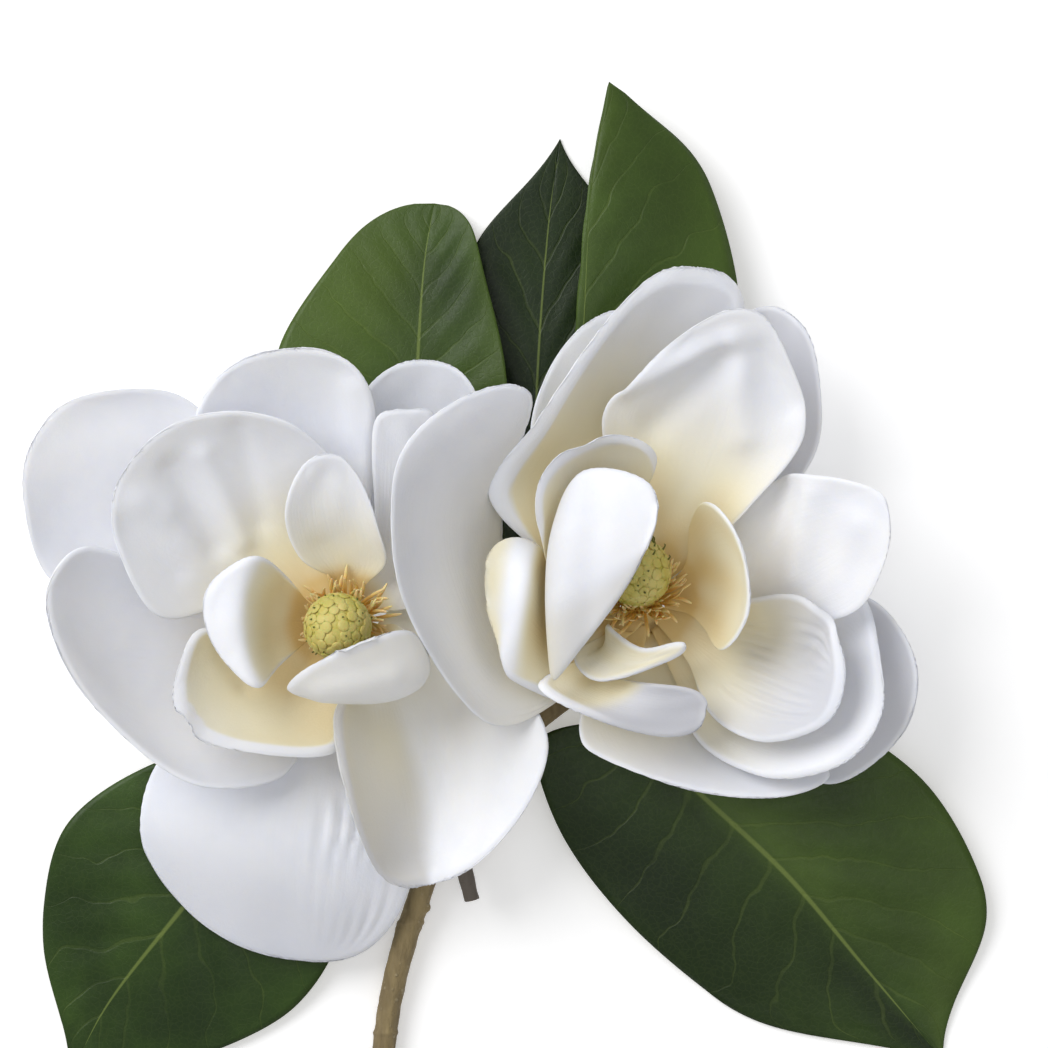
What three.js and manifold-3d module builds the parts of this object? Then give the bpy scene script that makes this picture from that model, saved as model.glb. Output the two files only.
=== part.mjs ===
// Magnolia branch: two open white flowers, five leaves and the woody shoot, laid down flat.
// Millimetres, +Z up. Z = 0 is the surface it lies on; the flowers open upwards.
import * as THREE from "three";
import { mergeVertices } from "three/addons/utils/BufferGeometryUtils.js";
import Module from "manifold-3d";

const wasm = await Module();
wasm.setup();

// ---------------------------------------------------------------- driving dimensions
const FLOWER_WIDTH = 180; // one open flower, rim to rim
const UNIT = FLOWER_WIDTH / 100; // control points below are in hundredths of a flower
const MIDDLE = [4.5, 63]; // plan middle of the whole outline, brought to the origin

const PETAL_THICK = 0.8; // blade
const CLAW_THICK = 1.6; // where a petal joins the wood
const CLAW_WIDTH = 8.6;
const PETAL_GRID = [8, 10]; // strips across and along
const SMALL_PETAL_GRID = [6, 9];

const LEAF_THICK = 0.8;
const MIDRIB_THICK = 2.4;
const STALK_WIDTH = 3.4;

const RECEPTACLE_RADIUS = 7.4;
const SPIGOT_RADIUS = 5.2; // carries the stamen ring and the centre
const SEAT_GAP = 0.3; // clearance between two pieces that touch in life

const CONE_RADIUS = 13.2;
const CONE_HEIGHT = 27;
const CARPELS = 34;
const STAMENS = 34;
const STAMEN_LENGTH = 12.5;

// ---------------------------------------------------------------- small helpers
function seeded(seed) {
  let state = seed >>> 0;
  return () => {
    state = (state + 0x6d2b79f5) >>> 0;
    let t = state;
    t = Math.imul(t ^ (t >>> 15), t | 1);
    t ^= t + Math.imul(t ^ (t >>> 7), t | 61);
    return ((t ^ (t >>> 14)) >>> 0) / 4294967296;
  };
}

const vec = (p) => new THREE.Vector3(p[0], p[1], p[2]);

// a point on the smooth curve through the stations, t from 0 to 1
function along(points, t) {
  const last = points.length - 1;
  const at = Math.min(Math.max(t, 0), 1) * last;
  const i = Math.min(Math.floor(at), last - 1);
  const f = at - i;
  const p1 = points[i];
  const p2 = points[i + 1];
  const p0 = i > 0 ? points[i - 1] : p1.clone().multiplyScalar(2).sub(p2);
  const p3 = i + 2 <= last ? points[i + 2] : p2.clone().multiplyScalar(2).sub(p1);
  const a = 2 * f ** 3 - 3 * f ** 2 + 1;
  const b = f ** 3 - 2 * f ** 2 + f;
  const c = -2 * f ** 3 + 3 * f ** 2;
  const d = f ** 3 - f ** 2;
  const out = p1.clone().multiplyScalar(a).addScaledVector(p2, c);
  out.addScaledVector(p2.clone().sub(p0), b / 2);
  out.addScaledVector(p3.clone().sub(p1), d / 2);
  return out;
}

// A thin closed blade. middle(u, v) gives the sheet between its two faces, thick(u, v)
// the thickness; u runs across from -1 to 1, v along from 0 to 1 and ends in one point.
function sheet(cols, across, downs, middle, thick) {
  const rows = downs.length - 1;
  const grid = downs.map((v) => across.map((u) => middle(u, v)));
  const normal = (i, j) => {
    const a = grid[Math.min(i + 1, rows)][j].clone().sub(grid[Math.max(i - 1, 0)][j]);
    const b = grid[i][Math.min(j + 1, cols)].clone().sub(grid[i][Math.max(j - 1, 0)]);
    return b.cross(a).normalize();
  };
  const points = [];
  const index = [];
  for (const side of [1, -1]) {
    for (let i = 0; i < rows; i += 1) {
      for (let j = 0; j <= cols; j += 1) {
        const half = (side * thick(across[j], downs[i])) / 2;
        points.push(grid[i][j].clone().addScaledVector(normal(i, j), half));
      }
    }
    const n = normal(rows - 1, cols / 2);
    points.push(grid[rows][0].clone().addScaledVector(n, (side * thick(0, 1)) / 2));
  }
  const layer = rows * (cols + 1) + 1;
  const id = (side, i, j) => side * layer + (i >= rows ? layer - 1 : i * (cols + 1) + j);
  for (let i = 0; i < rows; i += 1) {
    for (let j = 0; j < cols; j += 1) {
      const odd = (i + j) % 2 === 1;
      const quad = [[i, j], [i, j + 1], [i + 1, j + 1], [i + 1, j]];
      const cut = odd ? [[0, 1, 2], [0, 2, 3]] : [[0, 1, 3], [1, 2, 3]];
      const tip = [[0, 1, 2]];
      for (const [a, b, c] of i === rows - 1 ? tip : cut) {
        index.push(id(0, ...quad[a]), id(0, ...quad[b]), id(0, ...quad[c]));
        index.push(id(1, ...quad[a]), id(1, ...quad[c]), id(1, ...quad[b]));
      }
    }
  }
  const rim = [];
  for (let j = 0; j <= cols; j += 1) rim.push([0, j]);
  for (let i = 1; i <= rows; i += 1) rim.push([i, cols]);
  for (let i = rows - 1; i > 0; i -= 1) rim.push([i, 0]);
  rim.forEach((a, k) => {
    const b = rim[(k + 1) % rim.length];
    index.push(id(0, ...a), id(1, ...a), id(1, ...b));
    index.push(id(0, ...a), id(1, ...b), id(0, ...b));
  });
  return solid(points, index);
}

// a geometry from points and triangles, turned so that its faces look outwards
function solid(points, index) {
  let volume = 0;
  for (let k = 0; k < index.length; k += 3) {
    const [a, b, c] = [points[index[k]], points[index[k + 1]], points[index[k + 2]]];
    volume += a.dot(b.clone().cross(c));
  }
  const turned = volume < 0 ? index.slice().reverse() : index;
  const geometry = new THREE.BufferGeometry();
  geometry.setAttribute("position", new THREE.Float32BufferAttribute(
    points.flatMap((p) => [p.x, p.y, p.z]), 3));
  geometry.setIndex(turned);
  return geometry;
}

// a round bar through stations [x, y, z, radius], closed at both ends
function bar(stations, sides, steps) {
  const centre = stations.map((s) => vec(s));
  const radii = stations.map((s) => new THREE.Vector3(s[3], 0, 0));
  const points = [];
  const index = [];
  let side = new THREE.Vector3(0.31, 0.2, 0.93);
  for (let i = 0; i <= steps; i += 1) {
    const t = i / steps;
    const at = along(centre, t);
    const ahead = along(centre, Math.min(t + 0.01, 1)).sub(along(centre, Math.max(t - 0.01, 0)));
    ahead.normalize();
    side = side.clone().addScaledVector(ahead, -side.dot(ahead)).normalize();
    const other = ahead.clone().cross(side);
    for (let k = 0; k < sides; k += 1) {
      const turn = (k / sides) * 2 * Math.PI;
      const r = along(radii, t).x;
      points.push(at.clone().addScaledVector(side, r * Math.cos(turn))
        .addScaledVector(other, r * Math.sin(turn)));
    }
  }
  const ends = [points.length, points.length + 1];
  points.push(along(centre, 0), along(centre, 1));
  for (let k = 0; k < sides; k += 1) {
    const n = (k + 1) % sides;
    for (let i = 0; i < steps; i += 1) {
      const [a, b] = [i * sides + k, i * sides + n];
      index.push(a, b, b + sides, a, b + sides, a + sides);
    }
    index.push(ends[0], n, k, ends[1], steps * sides + k, steps * sides + n);
  }
  return solid(points, index);
}

function toManifold(geometry) {
  const plain = new THREE.BufferGeometry();
  plain.setAttribute("position", geometry.getAttribute("position").clone());
  if (geometry.index) plain.setIndex(geometry.index.clone());
  const merged = mergeVertices(plain, 1e-4);
  return new wasm.Manifold(new wasm.Mesh({
    numProp: 3,
    vertProperties: new Float32Array(merged.getAttribute("position").array),
    triVerts: new Uint32Array(merged.index.array),
  }));
}

function fromManifold(body) {
  const mesh = body.getMesh();
  const geometry = new THREE.BufferGeometry();
  geometry.setAttribute("position", new THREE.BufferAttribute(
    new Float32Array(mesh.vertProperties), 3));
  geometry.setIndex(new THREE.BufferAttribute(new Uint32Array(mesh.triVerts), 1));
  return geometry;
}

function fuse(geometries) {
  return fromManifold(wasm.Manifold.union(geometries.map(toManifold)));
}

// ---------------------------------------------------------------- flowers
// centre: plan place of the flower and height of its lowest tier of petals, in units.
// lean: how far the axis leans, in degrees, and towards which plan direction.
const LEFT = { centre: [-35.8, -19.2, 15], lean: [6, 225] };
const RIGHT = { centre: [24.2, -18.2, 13.5], lean: [30, 100] };
const TIER_STEP = 3.5; // mm between tiers of petals along the axis

// tiers: 0 outermost. at: direction in which the petal leaves the wood, degrees.
// mid, left and right: stations along the midrib and the two margins, from the
// petal's foot to its tip, as [across, up the plan, height] in units from the centre
// (heights from the ground). blunt: 2 round tip, more is squarer.
// curl: how far the rim bends back, mm. wave: [height mm, waves, turn].
const LEFT_PETALS = {
  left_petal_far_left: {
    tier: 0, at: 160, blunt: 2.6, curl: 1.5, wave: [1, 2.5, 0.3],
    mid: [[-15, 9, 14], [-29, 18, 15], [-44, 27, 20], [-61, 38, 29]],
    left: [[-18, 2, 15], [-35, 2, 17], [-57, 6, 24], [-70, 22, 35]],
    right: [[-11, 16, 15], [-21, 32, 17], [-33, 45, 21], [-52, 50, 30]],
  },
  left_petal_top: {
    tier: 1, at: 98, blunt: 2.6, curl: 1.5, wave: [0.8, 2, 0.1],
    mid: [[-2, 12, 16], [-6, 26, 18], [-10, 40, 23], [-12, 54, 32]],
    left: [[-7, 11, 17], [-18, 20, 20], [-30, 34, 26], [-32, 50, 34]],
    right: [[3.4, 13, 17], [5.6, 26, 20], [6.4, 40, 26], [6, 54, 34]],
  },
  left_petal_behind: {
    tier: 0, at: 62, blunt: 2.4, curl: 1, wave: [0.6, 2, 0.5],
    mid: [[5, 12, 12.5], [9, 26, 13], [13, 39, 16], [16.6, 52, 22]],
    left: [[1, 12, 12.5], [0, 26, 13], [1.4, 40, 17], [4, 52, 24]],
    right: [[9, 11, 12.5], [19, 22, 14], [27, 36, 18], [30, 50, 25]],
  },
  left_petal_bottom: {
    tier: 0, at: 250, blunt: 2.6, curl: 1, wave: [0.8, 3, 0.2],
    mid: [[-4, -16, 13], [-8, -32, 14.5], [-11, -48, 15], [-10, -69.4, 7.4]],
    left: [[3, -16, 13], [10, -32, 12.5], [13, -50, 11.5], [10, -71, 6]],
    right: [[-13, -14, 13], [-36, -26, 12.5], [-42, -43, 11], [-37, -66, 6]],
  },
  left_petal_bowl: {
    tier: 1, at: 205, blunt: 2.4, curl: 2, wave: [0.6, 2, 0.6],
    mid: [[-15, -6, 16], [-29, -9, 17.5], [-44, -9, 24], [-58, -3, 35]],
    left: [[-7, -20, 17], [-13, -32, 20], [-29, -33.6, 28], [-48, -25, 35]],
    right: [[-16, 3, 17], [-31, 8, 20], [-50, 15, 29], [-61, 15, 37]],
  },
  left_petal_inner_left: {
    tier: 2, at: 140, blunt: 2.4, curl: 1.5, wave: [0.8, 2, 0.9],
    mid: [[-9, 10, 19], [-18, 19, 22], [-29, 26, 28], [-42, 32, 36]],
    left: [[-14, 4, 19.5], [-26, 2, 24], [-38, 1, 32], [-51, 16, 39]],
    right: [[-4, 14, 20], [0, 27, 26], [-9, 39, 33], [-27, 47, 39]],
  },
  left_petal_small_top: {
    tier: 3, at: 95, blunt: 2.3, curl: 1, wave: [0.4, 2, 0],
    mid: [[0.6, 8, 23], [-0.6, 15, 26.4], [-2.4, 23, 31], [-3.6, 33, 36]],
    left: [[-2.5, 8, 23.5], [-9, 12.4, 28], [-12, 21, 33], [-11, 33, 37]],
    right: [[4.6, 7.6, 23.5], [8.4, 12, 27], [6.4, 21, 32], [2.4, 34, 37]],
  },
  left_petal_small_left: {
    tier: 3, at: 178, blunt: 2.4, curl: 1.5, wave: [0.4, 2, 0],
    mid: [[-9, 0, 21.6], [-15, 0, 27], [-20, 0.4, 37.5], [-27, 0.8, 37]],
    left: [[-8, -4.6, 21.4], [-13, -9, 27], [-16.6, -13.4, 35.6], [-20, -14, 36.4]],
    right: [[-8, 4, 22], [-12, 9, 26.6], [-17, 13, 37], [-24, 12.4, 38]],
  },
  left_petal_cup: {
    tier: 2, at: 235, blunt: 3, curl: 2, wave: [0.5, 2, 0.4],
    mid: [[-7, -8, 18.5], [-12, -13, 20], [-22, -16, 26], [-31.4, -20, 34]],
    left: [[-1, -12, 19], [0, -19, 21], [-2.4, -27, 26], [-22, -26.6, 35]],
    right: [[-12, -5, 19.5], [-20, -3, 23], [-29, -1.6, 31], [-34, -10, 36]],
  },
  left_petal_bottom_right: {
    tier: 1, at: 300, blunt: 2.7, curl: 1.5, wave: [0.6, 2, 0.7],
    mid: [[8, -12, 16], [13, -25, 16.6], [17, -38, 17.6], [17, -53, 22]],
    left: [[15, 5, 15.6], [32.6, -11, 16], [41, -25, 19.4], [36, -47, 26]],
    right: [[1, -14, 18], [-2, -18.6, 27], [0.6, -36, 31], [4.6, -54, 29]],
  },
  left_petal_small_right: {
    tier: 3, at: 315, blunt: 3.4, curl: 1, wave: [0.3, 2, 0],
    mid: [[6.6, -7, 22.5], [12, -13.4, 27], [12, -14, 36], [3.6, -4.4, 44]],
    left: [[10, -1, 22.5], [15.4, -5, 27], [16.2, -4, 32], [14, 0.6, 36]],
    right: [[1, -10, 22.5], [-2, -15.4, 28], [-9.6, -15.8, 33.4], [-15.6, -12, 38]],
  },
  left_petal_narrow: {
    tier: 2, at: 50, blunt: 5, curl: 1, wave: [0.3, 2, 0],
    mid: [[8, 9, 19.5], [10.8, 19.6, 22.6], [12.4, 31, 27.4], [13, 42, 31]],
    left: [[4.6, 12, 20], [5.8, 21, 24.5], [5.4, 32, 28.6], [5.4, 42, 32.4]],
    right: [[13.4, 3, 19.5], [15.6, 14, 22], [18.6, 29, 26], [18.4, 42.6, 29.6]],
  },
};

const RIGHT_PETALS = {
  right_petal_behind_left: {
    tier: 0, at: 127, blunt: 2.5, curl: 1, wave: [0.5, 2, 0],
    mid: [[-4, 11, 13], [-8, 25, 13], [-11, 40, 16], [-9, 60, 22]],
    left: [[-8, 9, 13], [-17, 21, 14], [-23, 35, 18], [-22, 53, 24]],
    right: [[0, 11, 13], [1, 25, 13], [1, 43, 16], [0, 64, 22]],
  },
  right_petal_top: {
    tier: 1, at: 110, blunt: 2.8, curl: 2, wave: [0.6, 2, 0.3],
    mid: [[-4, 11, 14.9], [-7, 27, 16.2], [-3, 45, 20], [10, 68.6, 29]],
    left: [[-16, 9, 17.6], [-31, 23, 27.6], [-21, 39, 33.6], [-2, 70, 35]],
    right: [[3, 13, 14.8], [9, 29, 16.2], [17, 45, 19.6], [27, 68, 27]],
  },
  right_petal_inner_top: {
    tier: 2, at: 80, blunt: 2.1, curl: 1.5, wave: [0.6, 2, 0.3],
    mid: [[4, 11, 16.8], [8, 23, 20], [14, 41, 25], [19.4, 61, 36]],
    left: [[-1, 12, 16.4], [-6, 27, 20], [-8.6, 41, 27], [-1, 56, 35]],
    right: [[9, 10, 18], [21, 21, 23.6], [32, 36, 28.6], [31, 54, 35]],
  },
  right_petal_behind_right: {
    tier: 0, at: 58, blunt: 2.6, curl: 1, wave: [0.6, 2, 0.3],
    mid: [[7, 9, 12], [15, 23, 12], [23, 41, 14], [30, 60, 19]],
    left: [[4, 11, 12], [7, 27, 12.5], [11, 47, 14], [18, 66, 19]],
    right: [[10, 7, 12], [23, 17, 12.5], [34.6, 32, 16], [38, 50, 22]],
  },
  right_petal_right: {
    tier: 1, at: 16, blunt: 3, curl: 1.5, wave: [0.8, 3, 0.3],
    mid: [[12, 2.6, 17], [24, 6, 20], [36, 13, 27], [48.4, 20, 36]],
    left: [[11, 8, 16.4], [19, 20, 19], [29, 28, 26], [46, 28, 36]],
    right: [[12, -2, 18], [25, -3, 21], [41, 0, 29], [49, 8, 36]],
  },
  right_petal_cup: {
    tier: 2, at: 332, blunt: 2.5, curl: 1.5, wave: [0.5, 3, 0.3],
    mid: [[11, -4, 20.5], [20, -8, 23.5], [29, -11.4, 28], [38.6, -15, 34.6]],
    left: [[12, 1, 21.5], [22, 3.6, 25.6], [31, 4, 30.4], [40, -1, 35.4]],
    right: [[9, -10, 20.5], [13, -20, 25], [22, -25.4, 28.8], [35, -26, 33.8]],
  },
  right_petal_crescent: {
    tier: 1, at: 318, blunt: 2.6, curl: 1.5, wave: [0.5, 3, 0.1],
    mid: [[11, -8, 16.5], [22, -14.4, 18], [34, -18.6, 23], [45, -23, 32]],
    left: [[14, -4, 16], [30, 0, 17.2], [43.6, 4.4, 22], [50, -11, 31]],
    right: [[7, -15, 17], [11, -26, 20.5], [23, -32.6, 25], [37, -34, 30]],
  },
  right_petal_low: {
    tier: 0, at: 275, blunt: 2.4, curl: 1, wave: [0.6, 3, 0.1],
    mid: [[2, -10, 14], [6, -19, 14.5], [11, -28, 18], [17, -36.4, 24]],
    left: [[9, -9, 13.5], [22, -18, 14.5], [36, -30, 18.5], [43, -37, 23]],
    right: [[-5, -11, 14.5], [-12, -18, 17], [-12.4, -26.6, 20], [-5, -32, 23]],
  },
  right_petal_far_right: {
    tier: 0, at: 350, blunt: 2.6, curl: 1, wave: [0.6, 2, 0.1],
    mid: [[11, -3, 12], [27, -7, 12], [42, -13, 15], [54.6, -17, 21]],
    left: [[11, 1, 12], [27, 5, 13], [44, 4, 17], [54, -1, 22]],
    right: [[9, -9, 11], [21, -19, 11], [35, -34, 13], [48, -34, 19]],
  },
  right_petal_over_centre: {
    tier: 3, at: 180, blunt: 3, curl: 0.5, wave: [0.3, 2, 0.1],
    mid: [[-11, -1, 21], [-19, 4, 28], [-17, 11, 39], [1.6, 18, 45]],
    left: [[-10, -6, 21.4], [-17.6, -11, 28.4], [-18, -12.8, 33.6], [-9, -5, 39]],
    right: [[-11, 4, 21], [-18, 16, 28], [-14.4, 28.2, 37], [-1, 31.4, 42]],
  },
  right_petal_rolled: {
    tier: 2, at: 142, blunt: 2.8, curl: 1.2, wave: [0.3, 2, 0.1],
    mid: [[-8, 9.6, 18.2], [-13, 21, 23], [-12.6, 29.6, 32], [-12.4, 34.2, 38.6]],
    left: [[-11, 4, 19.8], [-19, 8.6, 24.2], [-21.4, 17.2, 30], [-24, 24.6, 38]],
    right: [[-2.6, 14, 17.6], [0, 24, 25], [2.4, 30.6, 33], [2, 35, 39.4]],
  },
  right_petal_left_cup: {
    tier: 1, at: 192, blunt: 3.5, curl: 1.5, wave: [0.4, 2, 0.1],
    mid: [[-10, -4, 17.2], [-18.8, -2.6, 20], [-24, 3.4, 31.4], [-31.6, 6, 26]],
    left: [[-8, -10.6, 16.8], [-14, -18.2, 18.6], [-26.8, -13, 25.4], [-28.4, -6.6, 28]],
    right: [[-11, 3, 17.3], [-18.6, 9, 20.2], [-22.4, 14.2, 24.4], [-29.6, 17.2, 29]],
  },
  right_petal_low_tongue: {
    tier: 2, at: 258, blunt: 3.4, curl: 1, wave: [0.3, 2, 0.1],
    mid: [[-6, -9.6, 19.4], [-13, -14.6, 24.4], [-2, -18.6, 29.4], [11.6, -19.8, 31]],
    left: [[-1, -9, 19.5], [-6, -12, 25], [2, -13.6, 29.6], [11.4, -13.8, 32]],
    right: [[-12, -8.6, 20], [-21.4, -13.6, 26.2], [-10, -20.8, 30], [7.4, -26.6, 30]],
  },
  right_petal_small_low: {
    tier: 3, at: 250, blunt: 2.6, curl: 0.8, wave: [0.3, 2, 0.1],
    mid: [[-4.6, -4.8, 22], [-9, -7.4, 27.4], [-3, -9.8, 31], [7.8, -6.2, 34]],
    left: [[-3, -3.6, 22], [-7.6, -1.8, 27.6], [-0.6, -6.6, 31.8], [7.6, -4.6, 34.5]],
    right: [[-8, -4, 22], [-14.4, -8, 28], [-9, -13.2, 31], [7.6, -8.8, 33]],
  },
  right_petal_small_right: {
    tier: 3, at: 5, blunt: 2.5, curl: 1, wave: [0.3, 2, 0.1],
    mid: [[8.6, 5, 21], [13, 7, 26], [17, 8.6, 34], [20.4, 7, 42]],
    left: [[8.2, 10, 21.8], [9.4, 18, 24.6], [11.6, 22.6, 31], [15, 24, 39.6]],
    right: [[9, 0, 22], [12.4, -3, 26], [15, -7, 32], [18.2, -6.6, 39]],
  },
  right_petal_far_left: {
    tier: 0, at: 200, blunt: 2.4, curl: 1, wave: [0.6, 2, 0.1],
    mid: [[-11, -10, 14], [-25, -16, 20], [-38, 1, 27], [-41, 23, 33], [-25, 45.4, 39]],
    left: [[-15, -16, 15.5], [-32, -21.6, 25], [-48, 2, 38], [-50.6, 26, 42], [-44, 46, 43]],
    right: [[-10, -6, 13.5], [-19, -11, 16], [-27, 6, 17], [-28.4, 20, 19], [-22, 39, 33]],
  },
};

// axis frame of a flower: origin, across, up the plan and along the axis
function flowerFrame(flower) {
  const [tilt, towards] = flower.lean.map(THREE.MathUtils.degToRad);
  const turn = new THREE.Quaternion().setFromAxisAngle(
    new THREE.Vector3(-Math.sin(towards), Math.cos(towards), 0), tilt);
  return new THREE.Matrix4().compose(
    vec(flower.centre).multiplyScalar(UNIT), turn, new THREE.Vector3(1, 1, 1));
}

function petal(flower, spec) {
  const frame = flowerFrame(flower);
  const angle = THREE.MathUtils.degToRad(spec.at);
  const out = RECEPTACLE_RADIUS + SEAT_GAP + 0.5;
  const foot = (side) => new THREE.Vector3(
    out * Math.cos(angle) - (side * CLAW_WIDTH / 2) * Math.sin(angle),
    out * Math.sin(angle) + (side * CLAW_WIDTH / 2) * Math.cos(angle),
    spec.tier * TIER_STEP).applyMatrix4(frame);
  const place = (p) => new THREE.Vector3(
    (p[0] + flower.centre[0]) * UNIT, (p[1] + flower.centre[1]) * UNIT, p[2] * UNIT);
  const mid = [foot(0), ...spec.mid.map(place)];
  const left = [foot(1), ...spec.left.map(place)];
  const right = [foot(-1), ...spec.right.map(place)];
  const from = 1 - 1.15 / (mid.length - 1);
  const blunt = spec.blunt || 2;
  const narrow = (v) => (v <= from ? 1
    : (1 - ((v - from) / (1 - from)) ** blunt) ** (1 / blunt));
  const [high, waves, turn] = spec.wave;
  const flat = (u, v) => {
    const m = along(mid, v);
    const a = along(left, v).sub(m).multiplyScalar(narrow(v));
    const b = along(right, v).sub(m).multiplyScalar(narrow(v));
    const bend = (u * u * narrow(v)) / 2;
    return m.addScaledVector(b.clone().sub(a), u / 2).addScaledVector(a.add(b), bend);
  };
  const middle = (u, v) => {
    const at = flat(u, v);
    const du = flat(Math.min(u + 0.05, 1), v).sub(flat(Math.max(u - 0.05, -1), v));
    const dv = flat(u, Math.min(v + 0.02, 0.995)).sub(flat(u, Math.max(v - 0.02, 0)));
    const n = dv.cross(du).normalize();
    const edge = Math.max(Math.abs(u) ** 3, v > from ? ((v - from) / (1 - from)) ** 3 : 0);
    const open = THREE.MathUtils.smoothstep(v, 0.2, 0.5);
    const ripple = high * Math.sin((v * waves + turn + (u > 0 ? 0.37 : 0)) * 2 * Math.PI);
    return at.addScaledVector(n, open * edge * (ripple * (1 - Math.abs(v - 0.6)) - spec.curl));
  };
  const thick = (u, v) => PETAL_THICK
    + (CLAW_THICK - PETAL_THICK) * (1 - THREE.MathUtils.smoothstep(v, 0.02, 0.2));
  const [cols, rows] = spec.tier === 3 ? SMALL_PETAL_GRID : PETAL_GRID;
  const across = [];
  for (let j = 0; j <= cols; j += 1) {
    across.push(Math.sin(((j / cols) * 2 - 1) * 1.25) / Math.sin(1.25));
  }
  const straight = Math.round(rows * 0.58);
  const downs = [];
  for (let i = 0; i <= rows; i += 1) {
    downs.push(i <= straight ? (from * i) / straight
      : from + (1 - from) * Math.sin(((i - straight) / (rows - straight)) * Math.PI / 2));
  }
  return sheet(cols, across, downs, middle, thick);
}

// ---------------------------------------------------------------- centre of a flower
const spigotFoot = 3 * TIER_STEP + 4; // above the lowest tier, along the axis

function centreCone(flower, seed) {
  const random = seeded(seed);
  const foot = spigotFoot + 4.6;
  const profile = [[0, 0], [0.42, 0], [0.62, 0.06], [0.86, 0.22], [0.99, 0.42], [0.97, 0.6],
    [0.8, 0.79], [0.5, 0.93], [0.22, 0.985], [0, 1]];
  const body = new THREE.LatheGeometry(profile.map(
    ([r, h]) => new THREE.Vector2(r * CONE_RADIUS, h * CONE_HEIGHT)), 18);
  body.rotateX(Math.PI / 2);
  body.translate(0, 0, foot);
  const pieces = [body];
  for (let k = 0; k < CARPELS; k += 1) {
    const h = 0.3 + 0.62 * ((k + 0.5) / CARPELS);
    const turn = k * 2.39996 + 0.1 * random();
    const r = CONE_RADIUS * Math.sqrt(Math.max(1 - ((h - 0.45) / 0.56) ** 2, 0.02));
    const tip = new THREE.ConeGeometry(2.3, 4.6, 5);
    tip.translate(0, -0.2, 0);
    const lift = Math.atan2(h - 0.42, 0.42);
    const direction = new THREE.Vector3(
      Math.cos(turn) * Math.cos(lift), Math.sin(turn) * Math.cos(lift), Math.sin(lift));
    tip.applyQuaternion(new THREE.Quaternion().setFromUnitVectors(
      new THREE.Vector3(0, 1, 0), direction.normalize()));
    tip.translate(Math.cos(turn) * r, Math.sin(turn) * r, foot + h * CONE_HEIGHT);
    pieces.push(tip);
  }
  return fuse(pieces).applyMatrix4(flowerFrame(flower));
}

function stamenRing(flower, seed) {
  const random = seeded(seed);
  const inner = SPIGOT_RADIUS + SEAT_GAP;
  const low = spigotFoot + SEAT_GAP;
  const ring = new THREE.LatheGeometry([
    [inner, low], [inner + 2.9, low], [inner + 3.3, low + 1.4], [inner + 2.2, low + 3.6],
    [inner, low + 3.6], [inner, low],
  ].map(([r, h]) => new THREE.Vector2(r, h)), 20);
  ring.rotateX(Math.PI / 2);
  const pieces = [ring];
  for (let k = 0; k < STAMENS; k += 1) {
    const turn = (k / STAMENS) * 2 * Math.PI + 0.1 * (random() - 0.5);
    const row = k % 2;
    const rise = THREE.MathUtils.degToRad(row ? 26 + 12 * random() : 44 + 12 * random());
    const long = STAMEN_LENGTH * (0.85 + 0.3 * random());
    const rod = new THREE.CylinderGeometry(0.55, 0.95, long, 4);
    rod.translate(0, long / 2, 0);
    rod.applyQuaternion(new THREE.Quaternion().setFromUnitVectors(
      new THREE.Vector3(0, 1, 0), new THREE.Vector3(
        Math.cos(turn) * Math.cos(rise), Math.sin(turn) * Math.cos(rise), Math.sin(rise))));
    const r = inner + 1.5;
    rod.translate(Math.cos(turn) * r, Math.sin(turn) * r, low + (row ? 1.1 : 2.2));
    pieces.push(rod);
  }
  return fuse(pieces).applyMatrix4(flowerFrame(flower));
}

// ---------------------------------------------------------------- wood
// stations [x, y, height, radius] in units
const WOOD = {
  twig: [[-33, -160, 2.3, 2.4], [-31, -130, 2.5, 2.4], [-27, -96, 3.4, 2.45],
    [-20, -72, 5.2, 2.5], [-15, -58, 7, 2.6]],
  leftShoot: [[-15.5, -60, 6.8, 2.6], [-21, -46, 8.6, 2.4], [-30, -31, 9.5, 2.4],
    [-35, -21, 10.5, 2.5]],
  rightShoot: [[-14.5, -59, 6.8, 2.5], [-4, -46, 7.4, 2.3], [10, -34, 7.6, 2.3],
    [24.6, -21.6, 9.2, 2.4]],
  stub: [[-15, -62, 6.8, 2.1], [-12.8, -68, 6.6, 1.8], [-10.6, -76.8, 6.2, 1.65]],
};

function receptacle(flower) {
  const top = spigotFoot;
  const profile = [[0, -9.5], [4.6, -9.5], [6.2, -6], [RECEPTACLE_RADIUS, -2.5],
    [RECEPTACLE_RADIUS, top - 1], [RECEPTACLE_RADIUS - 0.9, top],
    [SPIGOT_RADIUS, top], [SPIGOT_RADIUS, top + 4.3], [0, top + 4.3]];
  const body = new THREE.LatheGeometry(profile.map(([r, h]) => new THREE.Vector2(r, h)), 16);
  body.rotateX(Math.PI / 2);
  return body.applyMatrix4(flowerFrame(flower));
}

function wood() {
  const scaled = (list) => list.map((s) => s.map((n) => n * UNIT));
  const pieces = [
    bar(scaled(WOOD.twig), 12, 12),
    bar(scaled(WOOD.leftShoot), 10, 6),
    bar(scaled(WOOD.rightShoot), 10, 6),
    bar(scaled(WOOD.stub), 8, 3),
    receptacle(LEFT),
    receptacle(RIGHT),
  ];
  for (const [x, y, z] of [[-21.6, -78.2, 4.2], [-25.4, -88.4, 3.4], [-30, -112, 2.6]]) {
    const scar = new THREE.SphereGeometry(1.55 * UNIT, 8, 5);
    scar.scale(1, 0.75, 1);
    scar.translate((x + 1.4) * UNIT, y * UNIT, (z + 1) * UNIT);
    pieces.push(scar);
  }
  const whole = toManifold(pieces[0]);
  const joined = pieces.slice(1).reduce((sum, piece) => sum.add(toManifold(piece)), whole);
  return fromManifold(joined.trimByPlane([0, 0, 1], 0));
}

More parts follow.
